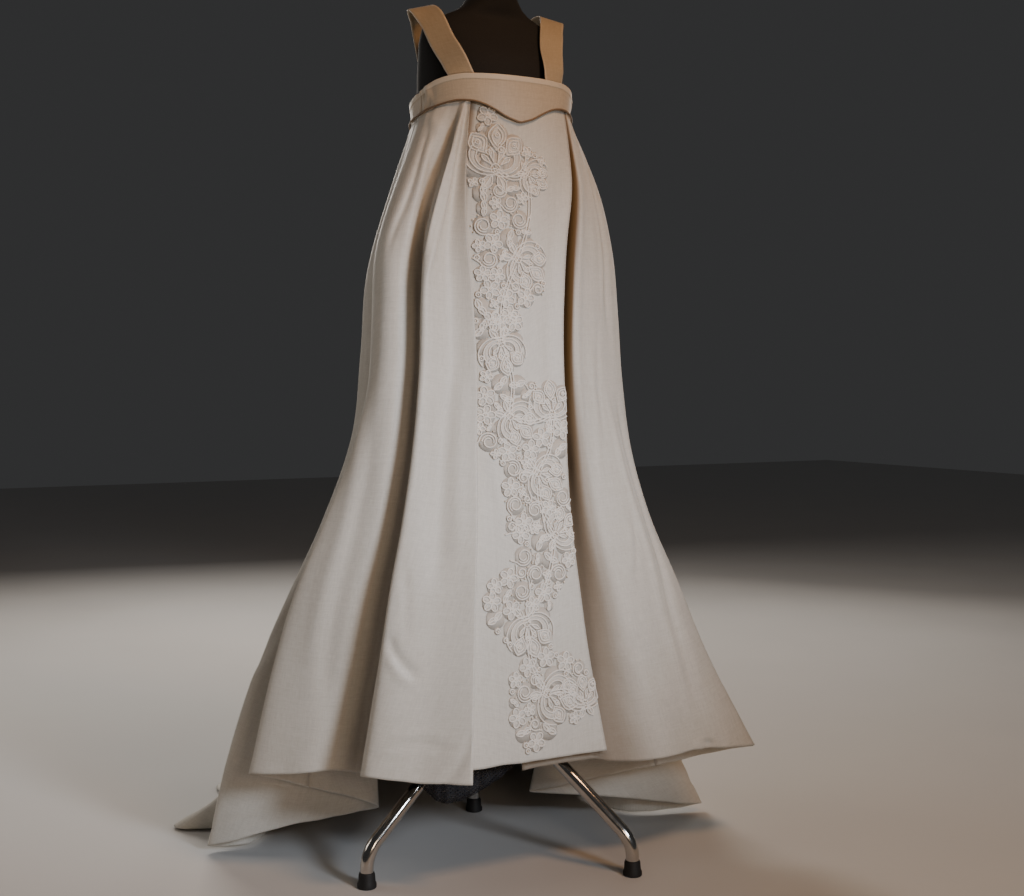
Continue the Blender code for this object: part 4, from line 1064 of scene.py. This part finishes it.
def draw_curl(lace, spot, size):
    """A scroll of two cords, with pearls along its back."""
    share = np.linspace(0, 1, 70)
    hand = 1 if spot[2] % 2 < 1 else -1
    turns = np.radians(-40 + 540 * share)
    for gap, count in ((0.0, 62), (CORD_GAP, 26)):
        far = (size - gap) * (1 - 0.80 * share)
        line = np.column_stack([far * np.cos(turns), hand * far * np.sin(turns)])
        lace.cord(spot, line[:count])
    tail = np.linspace((size, 0), (1.5 * size, -0.7 * hand * size), 8)
    lace.cord(facing(spot, -hand * 40), tail)
    for k in range(5):
        lace.pearl(facing(spot, hand * (40 + 34 * k)), 1.16 * size)


def draw_leaves(lace, spot, size):
    """A pair of veined leaves, nearly back to back."""
    for off in (0, 160):
        way = facing(spot, off)
        foot = (*placed([-0.35 * size, 0], way)[0], way[2])
        draw_petal(lace, foot, 0.1 * size, 1.35 * size, 0.62 * size, 1.0, vein=True)


def draw_ring(lace, spot, size):
    """The smallest motif: a ring round a pearl."""
    lace.cord(spot, circle(0.7 * size, 10), True)
    lace.pearl(spot)


def draw_stem(lace, before, after, bow):
    """Two cords side by side from one lily to the next."""
    start, end = np.array(before), np.array(after)
    way = end - start
    aside = np.array([-way[1], way[0]]) / np.linalg.norm(way)
    share = np.linspace(0, 1, 40)[:, None]
    line = start + way * share + aside * bow * np.sin(math.pi * share) ** 1.2
    for gap in (-CORD_GAP / 2, CORD_GAP / 2):
        lace.cords.append((beside(line[3:-3], gap), False))


def lily_rooms():
    """The rounds that the lilies take up."""
    rooms = []
    for x, z, turn, size in LILIES:
        rooms.append((x, z, LILY_HEART * size))
        for off, far, room in LILY_ROOMS:
            way = math.radians(turn + off)
            at = (x + far * size * math.cos(way), z + far * size * math.sin(way))
            rooms.append((*at, room * size))
    return rooms


def packed_motifs(number, top, bottom, rooms):
    """Smaller motifs packed between the lilies, inside the lace's edge, largest first."""
    pick = random.Random(FILLING_SEED + number)
    taken = list(rooms)
    found = []
    for size in FILLING_SIZES:
        for _ in range(FILLING_TRIES):
            z = pick.uniform(bottom, top)
            edge = read(LACE_EDGE, LACE_EDGE_COLUMNS, z)
            x = pick.uniform(edge["from_x"] + 0.4 * size, edge["to_x"] - 0.4 * size)
            if all(
                math.hypot(x - a, z - b) > ROOM_NEW * size + ROOM_OLD * room for a, b, room in taken
            ):
                taken.append((x, z, size))
                found.append(((x, z, pick.uniform(0, 360)), size))
    return found


def drawn_run(number, top, bottom):
    """A run of lace: its lilies and stems, the motifs packed round them, and the ground under all."""
    lace = Lace()
    for k, (x, z, turn, size) in enumerate(LILIES):
        if bottom <= z < top:
            draw_lily(lace, (x, z, turn), size)
            if k + 1 < len(LILIES):
                draw_stem(lace, (x, z), LILIES[k + 1][:2], STEM_BOW if k % 2 else -STEM_BOW)
    rooms = lily_rooms()
    small = packed_motifs(number, top, bottom, rooms)
    kinds = (draw_floret, draw_curl, draw_floret, draw_leaves)
    for k, (spot, size) in enumerate(small):
        draw = kinds[k % 4] if size > PLAIN_SIZE else draw_ring
        draw(lace, spot, size)
    rounds = [room for room in rooms if bottom <= room[1] < top]
    rounds += [(*spot[:2], size) for spot, size in small]
    # A real net ground round each motif, whose darker colour paints the shade between the cords.
    turns = np.linspace(0, math.pi, GROUND_POINTS)[1:-1]
    for x, z, size in rounds:
        arc = np.column_stack([np.cos(turns), np.sin(turns)]) * size * GROUND_SPREAD
        lace.grounds.append((arc + (x, z), arc * (1, -1) + (x, z)))
    return lace


def laid(cloth, points, out):
    """Flat points of the lace, laid on the centre panel and set out from it."""
    found = []
    for x, z in points:
        spot, normal, _, _ = cloth.ray_cast(Vector((x, -1.0, z)), Vector((0, 1, 0)))
        if spot is not None:
            found.append(spot + (normal if normal.y < 0 else -normal) * out)
    return found


def lace_cords(name, cloth, cords):
    lines, closed = [], set()
    for points, loop in cords:
        line = laid(cloth, resampled(points, CORD_STEP, loop), LACE_CORD_OUT)
        if len(line) > 2:
            if loop:
                closed.add(len(lines))
            lines.append(line)
    return curve_data(name, lines, CORD_RADIUS, 1, closed)


def lace_strips(name, cloth, strips, out):
    """The thin cloth between two lines of each of the strips."""
    bm = bmesh.new()
    for order, (left, right) in enumerate(strips):
        stand = out + order * STRIP_STEP
        rows = [laid(cloth, [a, a * 0.5 + b * 0.5, b], stand) for a, b in zip(left, right)]
        rows = [row for row in rows if len(row) == 3]
        if len(rows) > 1:
            add_grid(bm, rows)
    bmesh.ops.recalc_face_normals(bm, faces=bm.faces)
    return finished(bm, name)


def lace_pearls(name, cloth, pearls):
    bm = bmesh.new()
    for spot in laid(cloth, pearls, PEARL_OUT):
        at = Matrix.Translation(spot)
        bmesh.ops.create_icosphere(bm, subdivisions=2, radius=PEARL_RADIUS, matrix=at)
    return finished(bm, name)


def add_lace(centre, thread, filling, ground, pearl):
    """The lace in three runs, from the waist down, each of which stands for its motifs' solids."""
    sheet = grid_mesh("lace_cloth", centre, cloth_lengths(centre))
    faces = [face.vertices[:] for face in sheet.polygons]
    cloth = BVHTree.FromPolygons([vertex.co for vertex in sheet.vertices], faces)
    bpy.data.meshes.remove(sheet)
    for number, (first, last, top, bottom) in enumerate(LACE_RUNS, 1):
        lace = drawn_run(number, top, bottom)
        nodes = [f"lace_{motif:02d}" for motif in range(first, last + 1)]
        name = f"lace_cords_{number}"
        add_piece(name, lace_cords(name, cloth, lace.cords), nodes, thread)
        for kind, strips, out, surface in (
            ("filling", lace.fills, LACE_FILL_OUT, filling),
            ("ground", lace.grounds, LACE_GROUND_OUT, ground),
        ):
            name = f"lace_{kind}_{number}"
            mesh = lace_strips(name, cloth, strips, out)
            add_piece(name, mesh, [], surface, LACE_WALL, middle=False)
        name = f"pearls_{number}"
        add_piece(name, lace_pearls(name, cloth, lace.pearls), [], pearl)


# The net flounce, the dress form and its stand


def rings_grid(rings):
    """Closed rings of points as a grid whose last column lies on its first."""
    rings = np.array(rings)
    return np.concatenate([rings, rings[:, :1]], axis=1)


def add_net(net):
    """The net flounce: a ruffled tube, longest where it shows."""
    rings = []
    for share in np.linspace(0, 1, NET_ROWS):
        ring = []
        for step in range(NET_AROUND):
            way = 2 * math.pi * step / NET_AROUND
            angle = 360.0 * step / NET_AROUND - 180.0
            point, outward = ring_point(angle, NET_RING)
            out = NET_WAVE_DEPTH * math.sin(NET_WAVES * way)
            out += NET_RUFFLE_DEPTH * share * math.sin(NET_RUFFLES * way + NET_RUFFLE_START)
            low = read(NET_HEM, NET_HEM_COLUMNS, angle)["hem_z"]
            ring.append([*(point + outward * out), NET_TOP + share * (low - NET_TOP)])
        rings.append(ring)
    grid = rings_grid(rings)
    mesh = grid_mesh("net_flounce_cloth", grid, cloth_lengths(grid), tube=True)
    made = add_piece("net_flounce_cloth", mesh, ["net_flounce"], net, NET_WALL)


def add_form(cover):
    rings = []
    for z in np.linspace(FORM[0][0], FORM[-1][0], FORM_ROWS):
        ring = read(FORM, FORM_COLUMNS, z)
        ring["right"] = ring["left"] = ring["width"]
        angles = np.linspace(0, 360, FORM_AROUND, endpoint=False)
        rings.append([[*ring_point(angle, ring)[0], z] for angle in angles])
    grid = rings_grid(rings)
    lengths = cloth_lengths(grid)
    mesh = grid_mesh("form", grid, lengths, tube=True, capped=True, sharp=FORM_SHARP)
    add_piece("form", mesh, ["dress_form"], cover)


def add_stand(chrome, rubber):
    low, high = HUB_HIGH + SEAM_GAP, FORM[0][0] - SEAM_GAP
    pole = turned("pole", ((POLE_RADIUS, low), (POLE_RADIUS, high)))
    add_piece("pole", pole, ["stand_pole"], chrome)
    below, groove_low, groove_high, above = (HUB_HIGH - down for down in HUB_GROOVE_DOWN)
    hub = turned(
        "hub",
        (
            (HUB_RADIUS - HUB_EDGE, HUB_LOW),
            (HUB_RADIUS, HUB_LOW + HUB_EDGE),
            (HUB_RADIUS, below),
            (HUB_RADIUS - HUB_GROOVE, groove_low),
            (HUB_RADIUS - HUB_GROOVE, groove_high),
            (HUB_RADIUS, above),
            (HUB_RADIUS, HUB_HIGH - HUB_EDGE),
            (HUB_RADIUS - HUB_EDGE, HUB_HIGH),
        ),
    )
    add_piece("hub", hub, ["stand_hub"], chrome)
    shoulder, knee = Vector((LEG_SHOULDER, 0, LEG_TOP)), Vector((LEG_REACH, 0, LEG_KNEE))
    before = knee - (knee - shoulder).normalized() * LEG_BEND
    after = knee - Vector((0, 0, LEG_BEND * 0.9))
    line = [Vector((HUB_RADIUS + SEAM_GAP, 0, LEG_TOP)), shoulder]
    for share in np.linspace(0, 1, LEG_BEND_POINTS):
        line.append(before * (1 - share) ** 2 + knee * 2 * share * (1 - share) + after * share**2)
    line.append(Vector((LEG_REACH, 0, FOOT_HEIGHT + SEAM_GAP)))
    side = [(FOOT_RADIUS - inwards, height) for inwards, height in FOOT_SIDE]
    for number, angle in enumerate(LEG_ANGLES, 1):
        turn = Matrix.Rotation(math.radians(angle), 3, "Z")
        leg = curve_data(f"leg_{number}", [[turn @ point for point in line]], LEG_RADIUS, 12)
        add_piece(f"leg_{number}", leg, [f"stand_leg_{number}"], chrome)
        foot = turned(f"foot_{number}", side, turn @ Vector((LEG_REACH, 0, 0)))
        add_piece(f"foot_{number}", foot, [f"stand_foot_{number}"], rubber)


# Materials


def linear(code):
    """A colour written as sRGB hex, in linear light."""
    parts = [int(code[i : i + 2], 16) / 255 for i in (1, 3, 5)]
    return (*(c / 12.92 if c <= 0.04045 else ((c + 0.055) / 1.055) ** 2.4 for c in parts), 1.0)


def plug(tree, node, sockets):
    """Sets a node's sockets to values, or links them to other nodes' outputs."""
    for name, value in sockets.items():
        if isinstance(value, bpy.types.NodeSocket):
            tree.links.new(value, node.inputs[name])
        else:
            node.inputs[name].default_value = value


def add_node(tree, kind, sockets, output=0, **settings):
    """The output of a new node, with its settings made and its sockets filled."""
    made = tree.nodes.new(kind)
    for name, value in settings.items():
        setattr(made, name, value)
    plug(tree, made, sockets)
    return made.outputs[output]


def new_material(name):
    made = bpy.data.materials.new(name)
    made.use_nodes = True
    return made, made.node_tree, made.node_tree.nodes["Principled BSDF"]


def woven(name, dark, light, thread, roughness, sheen, edging=None, painted_shade_colour=None):
    """Plain-woven silk, from the spacing of its drawn threads in metres.

    Noise drawn out along the threads both ways gives the weave, longer streaks give the slubs, and
    soft clouds a hand's breadth wide give the tone of worn cloth. An edging is a strip of another
    colour along the sides or the top, and the last colour is brown painted shade, which the mesh's
    attribute mixes in deep in the pleats.
    """
    made, tree, shader = new_material(name)
    at = add_node(tree, "ShaderNodeTexCoord", {}, "UV")
    grains = []
    for wide, long in ((1, 9), (9, 1), (3, 60), (60, 3)):
        scale = (1 / (thread * wide), 1 / (thread * long), 1)
        spot = add_node(tree, "ShaderNodeMapping", {"Vector": at, "Scale": scale})
        noisy = {"Vector": spot, "Scale": 1.0, "Detail": 1.0}
        grains.append(add_node(tree, "ShaderNodeTexNoise", noisy, "Fac"))
    weave = add_node(tree, "ShaderNodeMath", {0: grains[0], 1: grains[1]}, operation="ADD")
    slubs = add_node(tree, "ShaderNodeMath", {0: grains[2], 1: grains[3]}, operation="ADD")
    mixed = {"Factor": 0.35, 2: weave, 3: slubs}
    cloth = add_node(tree, "ShaderNodeMix", mixed, data_type="FLOAT")
    mixed = {"Value": cloth, "From Min": 0.70, "From Max": 1.30}
    ramp = add_node(tree, "ShaderNodeMapRange", mixed)
    where = add_node(tree, "ShaderNodeTexCoord", {}, "Object")
    noisy = {"Vector": where, "Scale": 6.0, "Detail": 3.0, "Roughness": 0.6}
    cloud = add_node(tree, "ShaderNodeTexNoise", noisy, "Fac")
    mixed = {"Factor": 0.4, 2: ramp, 3: cloud}
    both = add_node(tree, "ShaderNodeMix", mixed, data_type="FLOAT")
    mixed = {"Factor": both, 6: linear(dark), 7: linear(light)}
    tone = add_node(tree, "ShaderNodeMix", mixed, 2, data_type="RGBA")
    if edging:
        axis, limit, colour = edging
        if axis == "across":
            part = add_node(tree, "ShaderNodeSeparateXYZ", {0: at}, "X")
            part = add_node(tree, "ShaderNodeMath", {0: part}, operation="ABSOLUTE")
            inside = add_node(tree, "ShaderNodeMath", {0: part, 1: limit}, operation="GREATER_THAN")
        else:
            part = add_node(tree, "ShaderNodeSeparateXYZ", {0: at}, "Y")
            inside = add_node(tree, "ShaderNodeMath", {0: part, 1: limit}, operation="LESS_THAN")
        most = add_node(tree, "ShaderNodeMath", {0: inside, 1: 0.7}, operation="MULTIPLY")
        mixed = {"Factor": most, 6: tone, 7: linear(colour)}
        tone = add_node(tree, "ShaderNodeMix", mixed, 2, data_type="RGBA")
    # Brown painted shade, mixed in by the mesh's attribute deep in the pleats and gaps.
    if painted_shade_colour:
        deep = add_node(tree, "ShaderNodeAttribute", {}, "Fac", attribute_name="painted_shade")
        mixed = {"Factor": deep, 6: tone, 7: linear(painted_shade_colour)}
        tone = add_node(tree, "ShaderNodeMix", mixed, 2, data_type="RGBA")
    bump = add_node(tree, "ShaderNodeBump", {"Height": cloth, "Strength": 0.30, "Distance": 0.0004})
    plug(tree, shader, {"Base Color": tone, "Normal": bump, "Roughness": roughness})
    plug(tree, shader, {"Sheen Weight": sheen, "Sheen Roughness": 0.4})
    return made


def speckled(name, dark, light, grains, roughness, bump_depth=0.0, metallic=0.0):
    """A surface with a grain in its tone, its roughness and its height, so many to the metre."""
    made, tree, shader = new_material(name)
    at = add_node(tree, "ShaderNodeTexCoord", {}, "Object")
    noisy = {"Vector": at, "Scale": grains, "Detail": 4.0}
    grain = add_node(tree, "ShaderNodeTexNoise", noisy, "Fac")
    mixed = {"Factor": grain, 6: linear(dark), 7: linear(light)}
    tone = add_node(tree, "ShaderNodeMix", mixed, 2, data_type="RGBA")
    mixed = {"Value": grain, "To Min": roughness * 0.75, "To Max": roughness * 1.25}
    rough = add_node(tree, "ShaderNodeMapRange", mixed)
    plug(tree, shader, {"Base Color": tone, "Roughness": rough, "Metallic": metallic})
    if bump_depth:
        raised = {"Height": grain, "Strength": 0.5, "Distance": bump_depth}
        plug(tree, shader, {"Normal": add_node(tree, "ShaderNodeBump", raised)})
    return made


def net_material():
    """Silk net, two sets of slanting threads with holes between them, coloured blue-black as painted
    shade.

    Such net has holes 1 to 2 mm wide. They are drawn about 5 mm wide here, so that they show from
    where the camera stands, and a quarter opaque, so that what is behind them looks veiled.
    """
    made, tree, shader = new_material("blue-black net")
    at = add_node(tree, "ShaderNodeTexCoord", {}, "UV")
    lines = []
    for turn in (0.9, -0.9):
        slanted = add_node(tree, "ShaderNodeMapping", {"Vector": at, "Rotation": (0, 0, turn)})
        waved = {"Vector": slanted, "Scale": 60.0}
        wave = add_node(tree, "ShaderNodeTexWave", waved, "Fac", wave_profile="SIN")
        lines.append(add_node(tree, "ShaderNodeMath", {0: wave, 1: 0.62}, operation="GREATER_THAN"))
    thread = add_node(tree, "ShaderNodeMath", {0: lines[0], 1: lines[1]}, operation="MAXIMUM")
    mixed = {"Value": thread, "To Min": 0.25, "To Max": 0.95}
    alpha = add_node(tree, "ShaderNodeMapRange", mixed)
    # The blue-black base colour is painted shade, for the shade that the net lies in under the skirt.
    plug(tree, shader, {"Alpha": alpha, "Base Color": linear("#12131B"), "Roughness": 0.7})
    return made


def main():
    # Undyed silk, hand-woven with slubs. Its threads lie 0.2 mm apart, and are drawn 1.6 mm apart
    # so that they show at all, with a low sheen that keeps the folds soft. Deep in the pleats and the
    # gaps beside them it is coloured brown as painted shade.
    silk = woven("ivory silk", "#C1BCB2", "#DFDBD2", 0.0016, 0.52, 0.15, painted_shade_colour="#6C512D")
    # The same silk dyed tan, with its threads drawn 1.4 mm apart. The turned edge along the top of
    # the band, 8.5 mm deep, is paler.
    paler = ("down", BAND_TURN, "#E6DCCB")
    band = woven("tan silk", "#B5A691", "#D3C6B2", 0.0014, 0.48, 0.15, paler)
    # A shade deeper for the straps, which have a paler stitched edge 3 mm wide down each side.
    paler = ("across", STRAP_PLAIN, "#C6B8A2")
    strap = woven("tan silk strap", "#A39379", "#BDAE96", 0.0014, 0.50, 0.15, paler)
    # Bias strips of the tan silk, rolled round a cord and over the buttons, a darker tan with less
    # sheen.
    cord = woven("tan silk cord", "#6E5842", "#8C755A", 0.0014, 0.50, 0.10)
    # Cotton cord wrapped in thread, sewn down along the lace's lines. The turns of the thread are
    # 0.5 mm wide and are drawn as a grain of 1 mm, which breaks up the light on the cords.
    thread = speckled("ivory lace cord", "#DDD6CC", "#F4EFE8", 900.0, 0.60, 0.0002)
    # Needle-made stitches that fill the petals, looser than the cord, so rougher, and coloured darker
    # than the cord as painted shade for the hollows between the cords.
    # The grain of 1.4 mm is that of two or three stitches.
    filling = speckled("ivory lace filling", "#CAC3B9", "#DED8CF", 700.0, 0.70, 0.0003)
    # The net under the motifs, whose holes of 1 mm let the silk through. It is drawn closed, with a
    # grain of 1.2 mm, as the darkest of the lace's three tones, which is painted shade between the
    # cords.
    ground = speckled("ivory lace ground, painted shade", "#B8B0A5", "#CBC4BA", 800.0, 0.75, 0.0002)
    # Small glass pearls dipped in nacre, smooth enough for a highlight each. The grain of 5 mm is
    # wider than one, so that they differ a little from each other.
    pearl = speckled("small pearls", "#E6DACB", "#F6EFE6", 200.0, 0.22)
    # Cotton jersey stretched over the form: nearly black and matt. Its loops are 1 mm wide, and
    # are drawn 1.7 mm wide.
    cover = speckled("black jersey", "#0B0B0C", "#19191B", 600.0, 0.85, 0.0004)
    # Chromed steel tube, polished, with smears 17 mm wide from being handled.
    chrome = speckled("chromed tube", "#B9B4AE", "#D8D4CE", 60.0, 0.14, metallic=1.0)
    # Moulded rubber, matt, with a grain of 2.5 mm from scuffs.
    rubber = speckled("black rubber", "#101011", "#1E1E20", 400.0, 0.65, 0.0002)
    net = net_material()

    centre = add_skirt(silk)
    add_bands(band)
    add_piping(cord)
    add_buttons(cord)
    add_straps(strap)
    add_lace(centre, thread, filling, ground, pearl)
    add_net(net)
    add_form(cover)
    add_stand(chrome, rubber)


# The floor, the lights and the camera


def add_light(name, at, aim, power, size, colour, beam):
    light = bpy.data.lights.new(name, "SPOT" if beam else "AREA")
    light.energy = power
    light.color = linear(colour)[:3]
    if beam:
        light.spot_size = math.radians(beam)
        light.spot_blend = 1.0
        light.shadow_soft_size = size
    else:
        light.size = size
    made = bpy.data.objects.new(name, light)
    made.location = POLE + Vector(at)
    made.rotation_euler = (Vector(aim) - Vector(at)).to_track_quat("-Z", "Y").to_euler()
    bpy.context.scene.collection.objects.link(made)


def add_stage():
    bm = bmesh.new()
    bmesh.ops.create_grid(bm, x_segments=FLOOR_PARTS, y_segments=FLOOR_PARTS, size=FLOOR_HALF)
    mesh = bpy.data.meshes.new("floor")
    bm.to_mesh(mesh)
    bm.free()
    # A painted studio floor, matt, with clouds a third of a metre wide that hardly show.
    mesh.materials.append(speckled("pale floor", "#C9C8C6", "#D2D1CF", 3.0, 0.8))
    floor = bpy.data.objects.new("floor", mesh)
    bpy.context.scene.collection.objects.link(floor)

    world = bpy.data.worlds.new("studio")
    world.use_nodes = True
    sky = {"Color": linear(WORLD_COLOUR), "Strength": WORLD_STRENGTH}
    plug(world.node_tree, world.node_tree.nodes["Background"], sky)
    bpy.context.scene.world = world
    for light in LIGHTS:
        add_light(*light)

    lens = bpy.data.cameras.new("camera")
    lens.sensor_width = CAMERA_SENSOR
    lens.lens = CAMERA_LENS
    lens.shift_x, lens.shift_y = CAMERA_SHIFT
    camera = bpy.data.objects.new("camera", lens)
    camera.location = POLE + Vector(CAMERA_AT)
    camera.rotation_euler = (math.radians(90), 0, math.radians(CAMERA_TURN))
    bpy.context.scene.collection.objects.link(camera)
    bpy.context.scene.camera = camera


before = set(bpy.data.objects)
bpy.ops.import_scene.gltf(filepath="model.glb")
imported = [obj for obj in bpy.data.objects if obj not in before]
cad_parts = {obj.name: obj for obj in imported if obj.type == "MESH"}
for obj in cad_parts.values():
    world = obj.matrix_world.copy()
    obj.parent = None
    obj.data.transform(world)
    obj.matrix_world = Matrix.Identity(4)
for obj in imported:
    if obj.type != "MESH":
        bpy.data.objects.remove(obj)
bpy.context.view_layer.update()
POLE_LOW, POLE_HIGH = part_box("stand_pole")
POLE = Vector(((POLE_LOW.x + POLE_HIGH.x) / 2, (POLE_LOW.y + POLE_HIGH.y) / 2, 0.0))
main()
add_stage()
